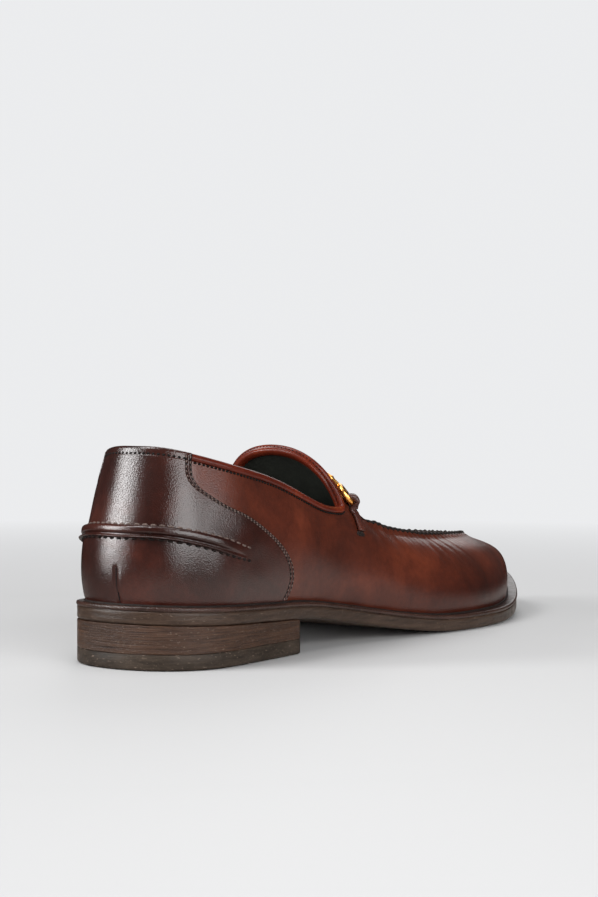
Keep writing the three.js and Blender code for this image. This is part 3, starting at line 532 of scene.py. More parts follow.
SOLE_EDGE = edge_leather(
    "waxed_sole_edge", (0.016, 0.0088, 0.0058), (0.048, 0.0285, 0.019), 0.42, (1, 1, 12), 0.45,
    coat=0.3, spots=0.45)
WELT_LEATHER = edge_leather(
    "waxed_rand", (0.016, 0.007, 0.005), (0.044, 0.02, 0.0145), 0.34, (1, 1, 3), 0.9,
    coat=0.4, spots=0.35)
STACK_LEATHER = edge_leather(
    "stacked_leather", (0.013, 0.0056, 0.0032), (0.057, 0.0275, 0.0155), 0.42, (1, 1, 24), 0.9,
    coat=0.26, spots=0.6)
RUBBER = edge_leather(
    "top_lift_rubber", (0.016, 0.012, 0.0093), (0.044, 0.032, 0.024), 0.52, (1, 1, 6), 0.6,
    coat=0.07, spots=0.7)
SOLE_LEATHER = edge_leather(
    "sole_leather", (0.075, 0.043, 0.027), (0.125, 0.076, 0.048), 0.48, (1, 0.4, 1), 0.1, coat=0.25)
LINING = lining_leather()


def thread(name, dark, light):
    m, tree, b = shader(name, dark, 0.7, specular=0.12)
    twist = noise(tree, 1800, 2, 0.5)
    dressed(tree, b, ramp(tree, twist, (0.35, dark), (0.65, light)), None, (twist, 0.5, 0.00012))
    return m


DARK_THREAD = thread("dark_thread", (0.002, 0.0015, 0.0014), (0.006, 0.0038, 0.0032))
# A paler copy of the dark threads, for stitches that lie in bright sheen: painted highlight on the
# thread.
LIT_THREAD = thread("painted_highlight_thread", (0.04, 0.026, 0.022), (0.125, 0.092, 0.08))
BROWN_THREAD = thread("brown_thread", (0.0032, 0.0022, 0.002), (0.011, 0.0065, 0.0052))
# The black cord is the apron seam's real cord, and is also painted shade in the rand's gap and the
# tabs' slots.
BLACK_CORD = thread("black_cord_and_painted_shade", (0.0055, 0.0045, 0.0042), (0.02, 0.0135, 0.0115))


def gold_metal():
    m, tree, b = shader("gold_plate", (0.86, 0.42, 0.1), 0.16, metal=1)
    color = ramp(tree, noise(tree, 260, 3), (0.3, (0.72, 0.3, 0.055)), (0.7, (0.96, 0.5, 0.14)))
    worn = ramp(tree, noise(tree, 500, 4), (0.35, 0.2), (0.7, 0.36))
    dressed(tree, b, color, worn, (noise(tree, 900, 2), 0.12, 0.00005))
    return m


GOLD = gold_metal()

# Upper
THROAT_AT = KNOTS[THROAT]
SEAM_LIFT, SEAM_WIDTH, SEAM_START = 1.1, 2, 0.6
PUCKER_PITCH = 4.6
WALL_HEIGHT, VAMP_REACH = 34, 30
# Soft shapes of the wall, by depth, place and width round the loop, place and width up the wall:
# the quarter's broad hollow and its roll over the waist, then upright waves beside the throat.
WALL_WAVES = [(-0.55, 7.1, 0.9, 0.62, 0.26), (0.35, 8.6, 0.6, 0.4, 0.25),
              (-0.4, 8.85, 0.13, 0.86, 0.17), (0.3, 9.08, 0.15, 0.84, 0.18),
              (-0.34, 9.32, 0.13, 0.8, 0.16), (0.22, 9.6, 0.2, 0.75, 0.2)]
# Flex lines over the ball. On the wall: place, lean and depth; on the vamp: place and depth.
WALL_FLEX = [(10.35, 0.3, 0.32), (10.62, 0.22, 0.26), (10.95, 0.1, 0.24), (11.25, -0.05, 0.18)]
VAMP_FLEX = [(10.25, 0.3), (10.6, 0.34), (11, 0.26), (11.4, 0.16)]


def seam_fade(section):
    """How much of the raised apron seam there is, by the section of the sole's loop."""
    section = np.minimum(section, LOOP - section)
    return smooth((section - THROAT - SEAM_START) / 0.45)


def section_of(q):
    return np.interp(np.mod(q, LENGTH), KNOTS, np.arange(LOOP + 1))


def puckers(q):
    """The leather gathered by the hand-sewn seam."""
    return np.sin(2 * np.pi * q / PUCKER_PITCH + 0.9 * np.sin(q / 17))


def wall_lift(q, up):
    """What stands off the wall: creases, puckers, ripples and the apron seam."""
    q, up = np.broadcast_arrays(np.asarray(q, float), np.asarray(up, float))
    section = section_of(q)
    s = np.minimum(section, LOOP - section)
    side = np.where(section <= LAST, 1, -1)
    d = np.zeros_like(q)
    for depth, at, width, height, tall in WALL_WAVES:
        d += depth * bump(s, at, width) * bump(up, height, tall)
    for at, lean, depth in WALL_FLEX:
        d -= depth * bump(s, at + lean * (up - 0.6), 0.075) * bump(up, 0.8, 0.22) * (1 + 0.2 * side)
    d += 0.24 * puckers(q) * seam_fade(section) * np.exp(-(1 - up) / 0.11)
    # faint lasting ripples above the welt
    d += 0.1 * np.sin(q / 3.7 + 1.3 * np.sin(q / 23)) * np.exp(-up / 0.1)
    return d + SEAM_LIFT * seam_fade(section) * bump((1 - up) * WALL_HEIGHT, 0, SEAM_WIDTH)


def lifted_wall(q, up):
    return wall(q, up) + wall_normal(q, up) * wall_lift(q, up)[..., None]


upper = Parts()
wall_up = np.concatenate([np.linspace(0, 0.86, 44), np.linspace(0.87, 1, 16)])
upper.add(lifted_wall(*np.meshgrid(np.arange(0, LENGTH, 1.1), wall_up)), wrap=True)
over_rows = np.concatenate([np.linspace(0, 0.18, 12), np.linspace(0.21, 1, 26)])
vamp_sections = np.concatenate([np.arange(THROAT, 12, 0.035), np.linspace(12, LAST, 90)])
S, O = np.meshgrid(vamp_sections, over_rows)
for side in (1, -1):
    reach = O * VAMP_REACH
    lift = seam_fade(S) * (SEAM_LIFT * bump(reach, 0, SEAM_WIDTH)
                           + 0.16 * puckers(distance(S, side)) * np.exp(-reach / 3))
    lift -= 0.3 * bump(S, 9.5, 0.5) * bump(O, 0.6, 0.35)
    for at, depth in VAMP_FLEX:
        lift -= depth * bump(S, at + 0.12 * np.sin(3 * O + at), 0.085) * bump(O, 0.95, 0.55)
    raised = vamp(S, side, O) + vamp_normal(S, side, O) * lift[..., None]
    raised[0] = lifted_wall(distance(vamp_sections, side), 1)
    upper.add(raised, flip=side < 0)
upper.make("upper_leather", UPPER_LEATHER, "upper_leather", "upper")

# The lining: the inside of the same wall, from the sock up and over the rim, with soft folds.
LINING_IN = UPPER_WALL + 0.1
lining = Parts()
Q, U = np.meshgrid(np.arange(0, LENGTH, 1.6), np.linspace(0, 1, 46))
folds = (0.22 * np.sin(Q / 2.9 + 2.2 * np.sin(U * 9 + Q / 19)) * bump(U, 0.6, 0.35)
         + 0.3 * np.sin(U * 26 + 1.7 * np.sin(Q / 9)) * bump(U, 0.72, 0.2))
inside = wall(Q, U) - wall_normal(Q, U) * (LINING_IN + 0.55 * folds)[..., None]
lining.add(inside, wrap=True, flip=True)
lining_sections = np.linspace(THROAT, LAST, 150)
S, O = np.meshgrid(lining_sections, np.linspace(0, 1, 24))
for side in (1, -1):
    under = vamp(S, side, O) - vamp_normal(S, side, O) * UPPER_WALL
    q = distance(lining_sections, side)
    under[0] = wall(q, 1) - wall_normal(q, 1) * LINING_IN
    lining.add(under, flip=side > 0)
lining.make("dark_lining", LINING, "sock_lining", "upper")

# Heel counter
DART_OFFSET, DART_WAVE = 0.4, 1.2
PANEL_EDGE = 0.15


def ridge_profile(u):
    """The raised seam's height over its own width: a sharp lower lip, a groove, a rounded bead."""
    lip = 1.95 * smooth((u + 0.03) / 0.08) * (1 - smooth((u - 0.13) / 0.15))
    groove = 0.95 * smooth((u - 0.08) / 0.08) * (1 - smooth((u - 0.3) / 0.15))
    bead = (2.02 + 0.18 * u) * np.clip(1 - np.abs((u - 0.64) / 0.34) ** 3.4, 0, 1) ** 0.42
    return np.maximum(np.maximum(lip, groove), bead)


def ridge_feet(q):
    """Where the raised seam's lower and upper foot are on the wall."""
    feet = curve(RIDGE[:, 0], RIDGE[:, 1:], np.abs(q) / HEEL_LENGTH)
    return feet[..., 0], feet[..., 1]


def counter_edge(up):
    return curve(COUNTER_EDGE[:, 0], COUNTER_EDGE[:, 1:], up)[..., 0] * HEEL_LENGTH


def dart_line(up):
    return DART_OFFSET - DART_WAVE * np.sin(up * 7)


def counter_stand(q, up):
    """How far the counter's outside stands off the last."""
    (low, high), around = ridge_feet(q), np.abs(q)
    fade = smooth((0.8 - around / HEEL_LENGTH) / 0.28)
    below = 0.9 * np.clip(up / low, 0, 1) ** 0.7 * (1 - smooth((up - low) / 0.02)) * fade
    stand = COUNTER_STAND + below + ridge_profile((up - low) / (high - low)) * fade
    # the dart up the middle of the back, the swelling beside it, and soft dents of a worn-in heel
    stand -= 0.85 * bump(q, dart_line(up), 0.55) * (1 - smooth((up - 0.24) / 0.06))
    stand += 0.175 * bump(q, 2.2, 2.2) * (1 - smooth((up - 0.2) / 0.1))
    stand -= 0.45 * bump(around, 46, 9) * bump(up, 0.6, 0.09)
    stand += 0.3 * bump(around, 27, 7) * bump(up, 0.78, 0.12)
    stand -= 0.3 * bump(around, 66, 8) * bump(up, 0.36, 0.1)
    return stand


up_levels = np.unique(np.concatenate([np.linspace(0, 1, 150), np.linspace(0.3, 0.58, 90),
                                      np.linspace(0.94, 1, 12)]))
share = np.linspace(-1, 1, 261)
share = np.sign(share) * (1 - (1 - np.abs(share)) ** 1.25)
A, B = np.meshgrid(share, up_levels)
reach = counter_edge(B)
q = A * reach
from_edge = (1 - np.abs(A)) * reach
edge_round = np.sqrt(np.clip(1 - (1 - np.clip(from_edge / 0.9, 0, 1)) ** 2, 0, 1))
stand = PANEL_EDGE + (counter_stand(q, B) - PANEL_EDGE) * edge_round
# The two rows of stitches draw the panel down beside its edge, and one row below its top.
EDGE_ROWS, TOP_ROW = (1.1, 3), 1.6
stand -= 0.34 * sum(bump(from_edge, row, 0.42) for row in EDGE_ROWS) * smooth(from_edge / 0.6)
stand += 0.22 * bump(from_edge, sum(EDGE_ROWS) / 2, 0.5)
from_top = (1 - B) * np.linalg.norm(wall(q, 1) - wall(q, 0), axis=-1)
stand -= 0.1 * bump(from_top, TOP_ROW, 0.5) * smooth((1.04 * reach - np.abs(q)) / 2)
face = wall(q, B) + wall_normal(q, B) * stand[..., None]
counter = Parts().add(face)
# Its folded top edge goes over the rim and a little way down inside.
top_q = share * counter_edge(1)
rim, rim_out = wall(top_q, 1), wall_normal(top_q, 1)
rim_up = unit(rim - wall(top_q, 0.96))
inner_side = UPPER_WALL + 0.5
half = (COUNTER_STAND + inner_side) / 2
fold = [face[-1]]
for a in np.linspace(0, math.pi, 12)[1:]:
    fold.append(rim + rim_out * (COUNTER_STAND - half + half * math.cos(a))
                + rim_up * (0.35 + math.sin(a)))
for drop in (1, 2.5, 4):
    fold.append(rim - rim_out * (inner_side - 0.08 * drop) - rim_up * drop)
counter.add(np.array(fold))
counter.make("heel_counter_panel", COUNTER_LEATHER, "counter_leather", "heel_counter")


def on_counter(q, up, lift):
    n = wall_normal(q, up)
    return wall(q, up) + n * (counter_stand(q, up) + lift)[..., None], n


def edge_row(inset, pitch):
    """Both sides' places along the counter's front edge, a distance inside it."""
    for side in (1, -1):
        ups = np.linspace(0, 0.985, 400)
        line, at = even(wall(side * (counter_edge(ups) - inset), ups), pitch)
        ups = between(ups, at)
        n = wall_normal(side * (counter_edge(ups) - inset), ups)
        yield line + n * (COUNTER_STAND - 0.26), tangents(line), n


SEWN_PITCH = 1.85
TOP_ROW_END, BACK_WALL = 30.4, 62
TOP_ROW_UP = 1 - TOP_ROW / BACK_WALL
stitching_and_shade, rows_thread = Parts(), Parts()
for inset in EDGE_ROWS:
    for p, t, n in edge_row(inset, SEWN_PITCH):
        stitches(rows_thread, p + n * 0.16, t, n, (1.15, 0.62, 0.5))
    # A black cord sunk along each row: painted shade of the stitch holes.
    for p, t, n in edge_row(inset, 0.6):
        stitching_and_shade.add(swept(p, unit(np.cross(n, t)), n, circle(8, 0.5, 0.24)), wrap=True)
top_q = np.linspace(-TOP_ROW_END, TOP_ROW_END, 300)
line, at = even(wall(top_q, TOP_ROW_UP), SEWN_PITCH)
n = wall_normal(between(top_q, at), TOP_ROW_UP)
stitches(stitching_and_shade, line + n * (COUNTER_STAND - 0.12), tangents(line), n, (1.35, 0.9, 0.6))
# The dart's own stitches, and a black cord in it: painted shade of the dart's slit.
ups = np.linspace(0.02, 0.26, 20)
line, n = on_counter(dart_line(ups), ups, 0.12)
stitches(stitching_and_shade, line, tangents(line), n, (1.15, 0.75, 0.6), tilt=0.3)
ups = np.linspace(0, 0.21, 40)
cord_on(stitching_and_shade, *on_counter(dart_line(ups), ups, 0.02), 0.42, 0.26)
stitching_and_shade.make("counter_seams_and_painted_shade", DARK_THREAD, "counter_leather")
# The edge rows' stitches are in the paler thread: painted highlight.
rows_thread.make("counter_stitches", LIT_THREAD, "counter_leather")

# Hand-sewn stitches along the top and the underside of the raised seam. The top row is in the paler
# thread: painted highlight.
RIDGE_END, RIDGE_PITCH = 60, 3.2
for name, foot, rise, size, material in (
        ("ridge_stitches_top", 1, 0.004, (2.3, 0.85, 0.75), LIT_THREAD),
        ("ridge_stitches", 0, -0.006, (2.4, 1, 0.9), BROWN_THREAD)):
    q = np.linspace(-RIDGE_END, RIDGE_END, 600)
    line, at = even(wall(q, ridge_feet(q)[foot] + rise), RIDGE_PITCH)
    q = between(q, at)
    places, n = on_counter(q, ridge_feet(q)[foot] + rise, 0.05)
    row = Parts()
    stitches(row, places, tangents(line), n, size)
    row.make(name, material, "counter_leather")

# Binding of the collar


def collar_path(step):
    """The edge of the opening, from one top of the counter round the throat to the other."""
    q = np.linspace(counter_edge(1) + 0.2, THROAT_AT, 260)
    over = np.linspace(0, 1, 160)[1:]
    halves = []
    for side in (1, -1):
        if side < 0:
            q = LENGTH - q * (LENGTH - KNOTS[LOOP - THROAT]) / THROAT_AT
        halves.append((np.vstack([wall(q, 1), vamp(THROAT, side, over)]),
                       np.vstack([wall_normal(q, 1), vamp_normal(THROAT, side, over)])))
    points, normals = (np.vstack([a, b[-2::-1]]) for a, b in zip(*halves))
    line, at = even(points, step)
    return line, unit(between(normals, at))


def softened(v, times):
    for _ in range(times):
        v = v.copy()
        v[1:-1] = v[1:-1] / 2 + (v[:-2] + v[2:]) / 4
    return v


path, path_out = collar_path(0.55)
path = softened(path, 30)
path_out = unit(softened(path_out, 60))
path_run = tangents(path)
path_out = unit(path_out - path_run * (path_out * path_run).sum(1, keepdims=True))
path_over = unit(np.cross(path_out, path_run))
BINDING_PROFILE = [
    (0.05, -1.75), (0.45, -1.74), (0.85, -1.62), (1.15, -1.25), (1.28, -0.75), (1.24, -0.15),
    (1.05, 0.4), (0.7, 0.85), (0.25, 1.08), (-0.25, 1.1), (-0.65, 0.92), (-0.88, 0.62),
    (-1.1, 0.6), (-1.35, 0.86), (-1.75, 0.98), (-2.2, 0.84), (-2.55, 0.42), (-2.75, -0.2),
    (-2.8, -1), (-2.72, -1.9), (-2.55, -2.3), (-2.3, -2.4)]
binding = Parts().add(swept(path, path_out, path_over, BINDING_PROFILE), flip=True)
binding.make("collar_binding", BINDING_LEATHER, "binding_leather", "topline_binding")

# One row of stitches below the binding, and one along its top.
welted = Parts()
for line, facing, pitch, lift, size in (
        (path - path_over * 2.2, path_out, SEWN_PITCH, 0.14, (1.35, 0.95, 0.6)),
        (path + path_over * 0.95 - path_out * 0.35, path_over, 1.75, 0.02, (1.1, 0.4, 0.3))):
    line, at = even(line, pitch)
    facing = unit(between(facing, at))
    stitches(welted, line + facing * lift, tangents(line), facing, size)
welted.make("collar_stitches", DARK_THREAD, "binding_leather")

# The hand-sewn apron seam: a cord drawn in at each stitch.
STEP, STITCH_PITCH = 0.5, 4.2
first = THROAT + SEAM_START + 0.02
s = np.linspace(first, LOOP - first, 700)
q = distance(s, 1)
seam_out = unit(wall_normal(q, 1) + np.array([0, 0, 0.9]))
line, at = even(wall(q, 1) + seam_out * (wall_lift(q, 1) - 0.1)[:, None], STEP)
seam_out = unit(between(seam_out, at))
fade = between(seam_fade(s), at)
across = unit(np.cross(seam_out, tangents(line)))
pinch = 0.5 + 0.5 * np.cos(2 * np.pi * np.arange(len(line)) * STEP / STITCH_PITCH)
size = (0.35 + 0.55 * fade) * (0.8 + 0.26 * pinch)
cord = circle(12)[None] * size[:, None, None] * np.array([0.85, 1.1])
seam = Parts().add(swept(line, across, seam_out, cord), wrap=True)
seam.make("apron_seam", BLACK_CORD, "upper_leather")
sewn = Parts()
places, at = even(line, STITCH_PITCH)
seam_out, across = unit(between(seam_out, at)), unit(between(across, at))
stitches(sewn, places + seam_out * 0.1, across, seam_out, (2.4, 0.8, 0.6))
sewn.make("apron_stitches", DARK_THREAD, "upper_leather")

# Sole


def two_sides(ring):
    """A ring's points up one side, and the points across from them."""
    half = len(ring) // 2
    return ring[: half + 1], ring[[-i % len(ring) for i in range(half + 1)]]


def ring_of(q, inset, foot, height):
    """The outline drawn in, at a height above a foot that follows the sole."""
    p = outline(q, np.broadcast_to(inset, q.shape))
    return at_height(p, foot(p[:, 1]) + height)


def rand_foot(y):
    return sole_bottom(y) + OUTSOLE + GAP * 0.4


loop_q = np.concatenate([np.linspace(a, b, 16, endpoint=False) for a, b in zip(KNOTS, KNOTS[1:])])
# The edge, by inset and height.
SOLE_EDGE_RINGS = [(1.1, 0), (0.55, 0.16), (0.15, 0.55), (0, 1.1), (0.06, 2.4), (0.06, 3.6),
                   (0, 4.6), (0.14, 4.95), (0.5, OUTSOLE)]
rings = [ring_of(loop_q, inset, sole_bottom, height) for inset, height in SOLE_EDGE_RINGS]
sole = Parts().add(np.array(rings), wrap=True)
for ring, flip in ((rings[0], False), (rings[-1], True)):
    left, across = two_sides(ring)
    sole.add(np.stack([left, left * 0.5 + across * 0.5, across]), flip=flip)
sole.make("outsole_body", SOLE_EDGE, "sole_leather", "outsole")
left, across = two_sides(ring_of(loop_q, 3.4, sole_bottom, -0.03))
fore = left[:, 1] > HEEL_LENGTH + 1.5
left, across = left[fore], across[fore]
tread = Parts().add(np.stack([left * (1 - t) + across * t for t in np.linspace(0, 1, 7)]))
tread.make("sole_underside", SOLE_LEATHER, "sole_leather")

# The rand, by inset, height and share of the wheeled notches.
NOTCH_PITCH, NOTCH_DEPTH = 1.7, 0.13
RAND_RINGS = [(0.6, -0.15, 0), (0.02, 0, 0), (-0.22, 0.3, 0.2), (-0.34, 0.75, 0.6),
              (-0.26, 1.25, 1), (0.02, 1.55, 1), (0.45, 1.66, 0.7), (1.1, 1.6, 0.2)]
fine_q = np.arange(0, LENGTH, 0.33)
wheel = 0.5 + 0.5 * np.cos(2 * np.pi * fine_q / (LENGTH / round(LENGTH / NOTCH_PITCH)))
notch = NOTCH_DEPTH * wheel**2
edge = station(fine_q)[0][:, EDGE]
rings = [(inset + notch * cut, height) for inset, height, cut in RAND_RINGS]
rings += [(edge - 0.1, 1.52), (edge + 1.2, 1.45)]
rings = [ring_of(fine_q, inset, rand_foot, height) for inset, height in rings]
rand = Parts().add(np.array(rings), wrap=True)
rand.make("rand", WELT_LEATHER, "welt_leather", "welt")
# A black cord where the upper goes down behind the rand: painted shade in the gap.
q = np.linspace(-LENGTH / 2, LENGTH / 2, 1400)
n = wall_normal(q, 0)
stand = 0.1 + (COUNTER_STAND + 0.15) * (1 - smooth((np.abs(q) - counter_edge(0) + 0.6) / 0.8))
line = wall(q, 0) + n * stand[:, None]
line[:, 2] = rand_foot(line[:, 1]) + 1.75
crevice = Parts()
cord_on(crevice, line, n, 0.55, 0.55)
crevice.make("rand_gap_painted_shade", BLACK_CORD, "welt_leather")

# Heel
BREAST_HOLLOW, PAST_BREAST = 1.5, KNOTS[7]


def heel_ring(inset, height, share=0):
    """The sole's outline cut across at the breast, which is a little hollow.

    It lies at a height, or at a share of the way from there up to the heel seat.
    """
    sides = []
    for sign in (1, -1):
        q = np.linspace(0, PAST_BREAST, 4000)
        y = outline(sign * q, np.full(4000, inset))[:, 1]
        end = q[np.argmax(y >= HEEL_LENGTH - inset)]
        sides.append(outline(sign * np.linspace(0, end, 90), np.full(90, inset)))
    outer, inner = sides[0], sides[1][:0:-1]
    t = np.linspace(0, 1, 22)[1:-1, None]
    breast = outer[-1] * (1 - t) + inner[0] * t
    breast[:, 1] -= np.sin(np.pi * t[:, 0]) * BREAST_HOLLOW
    p = np.vstack([outer, breast, inner])
    return at_height(p, height + (sole_bottom(p[:, 1]) - GAP * 0.4 - height) * share)


def heel_block(name, rings, material, slot, node_name):
    block = Parts().add(np.array(rings), wrap=True)
    block.cap(rings[0], flip=True).cap(rings[-1])
    block.make(name, material, slot, node_name)


# The stack's layers, by share of its height and inset, with a groove at each join.
LAYER_JOINS = (0.17, 0.335, 0.5, 0.665, 0.83)
stack_rings = [(0, 0.16), (0.01, 0.03), (0.022, 0), (0.04, 0)]
for join in LAYER_JOINS:
    stack_rings += [(join - 0.03, 0), (join - 0.012, 0), (join, 0.06), (join + 0.012, 0),
                    (join + 0.03, 0)]
stack_rings += [(0.96, 0), (0.978, 0), (0.99, 0.03), (1, 0.16)]
heel_block("heel_layers", [heel_ring(inset, TOP_LIFT + 0.1, share) for share, inset in stack_rings],
           STACK_LEATHER, "stacked_leather", "heel_stack")
LIFT_RINGS = [(0.75, 0), (0.42, 0.08), (0.14, 0.32), (0, 0.8), (0, TOP_LIFT - 0.25),
              (0.12, TOP_LIFT - 0.02), (0.4, TOP_LIFT + 0.05)]
heel_block("top_lift_block", [heel_ring(inset, height) for inset, height in LIFT_RINGS],
           RUBBER, "top_lift_rubber", "top_lift")

# Sock
rim_q = np.linspace(0, LENGTH / 2, 160)
edges = [outline(q, station(q)[0][:, EDGE] + UPPER_WALL) for q in (rim_q, -rim_q)]
rows = []
for t in np.linspace(0, 1, 25):
    p = edges[0] * (1 - t) + edges[1] * t
    cup = 1.3 * (2 * t - 1) ** 6
    rows.append(at_height(p, welt_top(p[:, 1]) + INSOLE_RISE + 0.12 + cup))
sock = Parts().add(np.array(rows), flip=True)
sock.make("sock", LINING, "sock_lining", "insole")

# Bit and its tabs
BIT_SHARE, TAB_SLANT, BAR_SLANT, BAR_START, RING_OVER = 0.33, 0.3, 0.6, 0.55, 0.27


def bit_line(side, s, shift=0):
    """The bit's own line: below the apron seam (s under 0) on the wall, above it on the vamp."""
    s = np.asarray(s, float)
    section = (THROAT + BIT_SHARE + shift + TAB_SLANT * np.minimum(0, s)
               + BAR_SLANT * np.maximum(0, s - BAR_START))
    on_wall = wall(distance(section, side), 1 + np.minimum(s, 0))
    return np.where((s >= 0)[..., None], vamp(section, side, np.maximum(s, 0)), on_wall)


def across_bit(side, s):
    return unit((bit_line(side, s, 0.05) - bit_line(side, s, -0.05)) * side)


def off_bit(side, s, stand):
    p = bit_line(side, s)
    n = unit(np.cross(across_bit(side, s), bit_line(side, np.asarray(s) + 0.02) - p))
    return p + n * stand, n


def catmull(points, count):
    """A smooth line through points."""
    p = np.vstack([2 * points[0] - points[1], points, 2 * points[-1] - points[-2]])
    t = np.linspace(0, len(points) - 1, count)
    i = np.minimum(t.astype(int), len(points) - 2)
    u = (t - i)[:, None]
    a, b, c, d = p[i], p[i + 1], p[i + 2], p[i + 3]
    return 0.5 * (2 * b + (c - a) * u + (2 * a - 5 * b + 4 * c - d) * u**2
                  + (3 * b - a - 3 * c + d) * u**3)


bit = Parts()
ring_frames = {}
for side in (1, -1):
    up = unit(bit_line(side, RING_OVER + 0.1) - bit_line(side, RING_OVER - 0.1))
    n = unit(np.cross(across_bit(side, RING_OVER), up))
    along = unit(np.cross(up, n))
    at = bit_line(side, RING_OVER) + n * (RING_WIRE + GAP)
    ring_frames[side] = (at, up, n, along)
    t = np.linspace(0, 2 * np.pi, 72, endpoint=False)
    radial = up * np.cos(t)[:, None] + along * np.sin(t)[:, None]
    wire = circle(16, RING_WIRE * 1.22, RING_WIRE * 1.22)
    rows = swept(at + radial * RING_RADIUS, radial, np.repeat(n[None], len(t), 0), wire)
    bit.add(np.vstack([rows, rows[:1]]), wrap=True)


def bar_half(side):
    at, up = ring_frames[side][:2]
    return [at + up * RING_RADIUS] + [off_bit(side, s, BAR_STAND)[0] for s in (0.6, 0.72, 0.86)]


BAR_STAND = BAR_RADIUS + 2 * GAP
route = bar_half(1) + [bit_line(1, 1) + np.array([0, 0, BAR_STAND])] + bar_half(-1)[::-1]
centre, _ = even(catmull(np.array(route), 400), 0.35)
run = tangents(centre)
across = unit(np.array([0, 1, 0]) - run * run[:, 1:2])
t = np.linspace(0, 1, len(centre))
thick = BAR_RADIUS * (0.6 + 0.38 * np.sin(np.pi * t)) + 0.25 * bump(t, 0.5, 0.06)
for collar in (0.1, 0.36, 0.64, 0.9):
    thick += 0.34 * bump(t, collar, 0.012)
bar = circle(18)[None] * thick[:, None, None]
bit.add(swept(centre, across, np.cross(run, across), bar), wrap=True)
bit.make("gold_bit", GOLD, "gold_metal", "bit")

# A tab, as half widths and half thicknesses, folded over the ring's wire; its slot, as rings.
TAB_SECTION = [(-1, 0.2), (-0.98, 1.1), (-0.82, 1.7), (-0.3, 2), (0.3, 2), (0.82, 1.7),
               (0.98, 1.1), (1, 0.2), (0.95, -1), (0.7, -1.5), (-0.7, -1.5), (-0.95, -1)]
TAB_STEPS = 90
SLOT_AT, SLOT_LENGTH, SLOT_WIDTH = -0.27, 2.9, 1.25
SLOT_RINGS = ((1, 0.02), (0.86, 0.34), (0.66, 0.3), (0.42, 0.04), (0, -0.02))
for side, label in ((1, "outer"), (-1, "inner")):
    at, up, n, along = ring_frames[side]
    half = TAB_WALL / 2
    slack = TAB_WIDTH**2 / (8 * RING_RADIUS)
    wire = at + up * (slack / 2 - RING_RADIUS)
    turn = RING_WIRE + 3 * GAP + half + slack / 2
    root = (-0.25, -0.17, -0.1, -0.03, 0.05)
    points = [off_bit(side, s, half + 2 * GAP)[0] for s in root]
    widths = [across_bit(side, s) for s in root]
    for k in range(7):
        angle = math.pi * (0.72 - 0.82 * k / 6)
        points.append(wire + up * turn * math.cos(angle) + n * turn * math.sin(angle))
        widths.append(along)
    centre = catmull(np.array(points), TAB_STEPS)
    wide = unit(catmull(np.array(widths), TAB_STEPS))
    run = tangents(centre)
    wide = unit(wide - run * (wide * run).sum(1, keepdims=True))
    over = unit(np.cross(run, wide))
    t = np.linspace(0, 1, TAB_STEPS)
    half_width = TAB_WIDTH / 2 * (0.86 + 0.42 * smooth((t - 0.1) / 0.45))
    section = TAB_SECTION * np.stack([half_width, np.full(TAB_STEPS, half)], 1)[:, None]
    # the inner side is thicker round the wire, so that the loop holds it snugly
    snug = 1 + 0.9 * smooth((t - 0.42) / 0.14)
    section[..., 1] *= np.where(section[..., 1] > 0, snug[:, None], 1)
    rows = swept(centre, wide, over, section)
    tab = Parts().add(rows, wrap=True).cap(rows[0], flip=True).cap(rows[-1])
    tab.make(f"tab_{label}", TAB_LEATHER, "upper_leather", f"strap_tab_{label}")
    # the slot that the tab comes out of, with its lip, all in black: painted shade of the opening
    place = bit_line(side, SLOT_AT)
    normal = off_bit(side, SLOT_AT, 1)[1]
    down = unit(bit_line(side, SLOT_AT - 0.05) - place)
    rows = []
    for share, height in SLOT_RINGS:
        c = circle(28, SLOT_LENGTH * share, SLOT_WIDTH * share)
        sag = 0.12 * c[:, :1] ** 2 / SLOT_LENGTH
        rows.append(place + normal * height + across_bit(side, SLOT_AT) * c[:, :1]
                    + down * (c[:, 1:] + sag))
    slot = Parts().add(np.array(rows), wrap=True)
    slot.make(f"tab_slot_painted_shade_{label}", BLACK_CORD, "upper_leather")

# Stage


def aim(thing, place, direction):
    thing.location = place
    thing.rotation_mode = "QUATERNION"
    thing.rotation_quaternion = direction.to_track_quat("-Z", "Y")


def area(name, place, target, width, height, power):
    data = bpy.data.lights.new(name, "AREA")
    data.energy, data.shape = power, "RECTANGLE"
    data.size, data.size_y = width, height
    aim(added(name, data), place, Vector(target) - Vector(place))


area("key_back", (-1.14, -1.12, 0.52), (0, -0.02, 0.05), 0.46, 0.95, 33)
area("wide_right", (1.3, -0.75, 0.62), (0, -0.15, 0.05), 1.3, 0.9, 29)
area("side_right", (1.43, 0.26, 0.34), (0, -0.1, 0.05), 0.75, 0.5, 7)
area("top", (0, 0.1, 1.5), (0, 0, 0), 0.9, 0.9, 9)
area("high_back", (-0.4, -0.8, 1.2), (0, -0.08, 0.05), 0.45, 0.45, 17)
area("behind", (-0.6, 1.4, 0.9), (0, 0.1, 0.04), 0.9, 0.9, 6)

BACKDROP = (0.835, 0.842, 0.855, 1)


def mixed_shader(tree, fac, first, second):
    m = node(tree, "ShaderNodeMixShader")
    for socket, value in enumerate((fac, first, second)):
        tree.links.new(value, m.inputs[socket])
    return m.outputs["Shader"]


# The world is pale to the camera, and dimmer in gloss than in light.
world = bpy.data.worlds.new("studio")
bpy.context.scene.world = world
world.use_nodes = True
wt = world.node_tree
light, rays = wt.nodes["Background"], node(wt, "ShaderNodeLightPath")
light.inputs["Color"].default_value = (0.8, 0.81, 0.83, 1)
strength = mapped(wt, rays.outputs["Is Glossy Ray"], 0, 1, 0.18, 0.05)
wt.links.new(strength, light.inputs["Strength"])
shown = node(wt, "ShaderNodeBackground", Color=BACKDROP)
mix = mixed_shader(wt, rays.outputs["Is Camera Ray"], light.outputs["Background"],
                   shown.outputs["Background"])
wt.links.new(mix, wt.nodes["World Output"].inputs["Surface"])
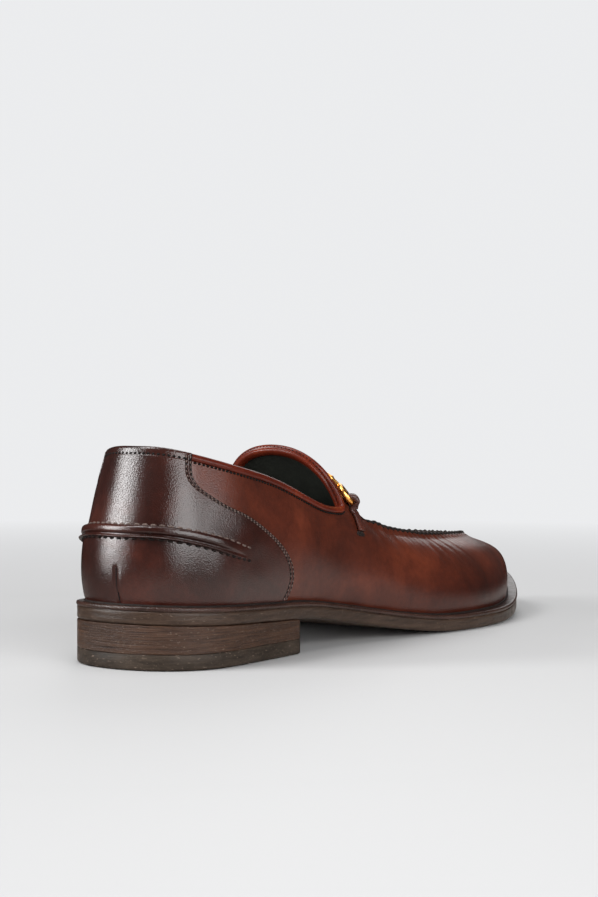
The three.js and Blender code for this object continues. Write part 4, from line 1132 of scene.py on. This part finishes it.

# The floor fades into the backdrop. Glossy rays see it warm and dim, only near the shoe, and darker
# towards -x: painted shade in the shoe's reflections on that side.
FLOOR_HALF, FLOOR_Z = 30, -0.0002
floor_mesh = bpy.data.meshes.new("floor")
floor_mesh.from_pydata([(x * FLOOR_HALF, y * FLOOR_HALF, FLOOR_Z)
                        for x, y in ((-1, -1), (1, -1), (1, 1), (-1, 1))], [], [(0, 1, 2, 3)])
floor = added("floor", floor_mesh)
fm, ft, fb = shader("pale_floor", (0.385, 0.385, 0.387), 0.6, specular=0.25)
length = node(ft, "ShaderNodeVectorMath", operation="LENGTH", Vector=placed(ft)).outputs["Value"]
glow = node(ft, "ShaderNodeEmission", Color=BACKDROP)
seen = mixed_shader(ft, mapped(ft, length, 0.26, 0.85), fb.outputs["BSDF"],
                    glow.outputs["Emission"])
share = node(ft, "ShaderNodeMath", operation="MULTIPLY")
ft.links.new(mapped(ft, length, 0.16, 0.5, 0.55, 0.03), share.inputs[0])
# darker towards -x: painted shade in what the shoe reflects
ft.links.new(mapped(ft, along_axis(ft, "X"), -0.1, 0.04, 0.25, 1), share.inputs[1])
warm = node(ft, "ShaderNodeVectorMath", operation="SCALE", Vector=(1, 0.95, 0.9),
            Scale=share.outputs["Value"])
dim = node(ft, "ShaderNodeBsdfDiffuse", Color=warm.outputs["Vector"])
rays = node(ft, "ShaderNodeLightPath")
mix = mixed_shader(ft, rays.outputs["Is Glossy Ray"], seen, dim.outputs["BSDF"])
ft.links.new(mix, ft.nodes["Material Output"].inputs["Surface"])
floor_mesh.materials.append(fm)

# Camera: where the photograph's stood, turned so that the whole shoe is inside the frame
LENS, SENSOR, TURN = 83.84, 36, math.radians(-5.77)
LOOK = (-0.62254, 0.78202, -0.02981)
camera_data = bpy.data.cameras.new("camera")
camera_data.lens, camera_data.sensor_width = LENS, SENSOR
camera_data.clip_start, camera_data.clip_end = 0.01, 100
camera = bpy.context.scene.camera = added("camera", camera_data)
look = Vector((LOOK[0] * math.cos(TURN) - LOOK[1] * math.sin(TURN),
               LOOK[1] * math.cos(TURN) + LOOK[0] * math.sin(TURN), LOOK[2]))
aim(camera, (0.47666, -0.65163, 0.105233), look)
bpy.context.scene.view_settings.view_transform = "Standard"
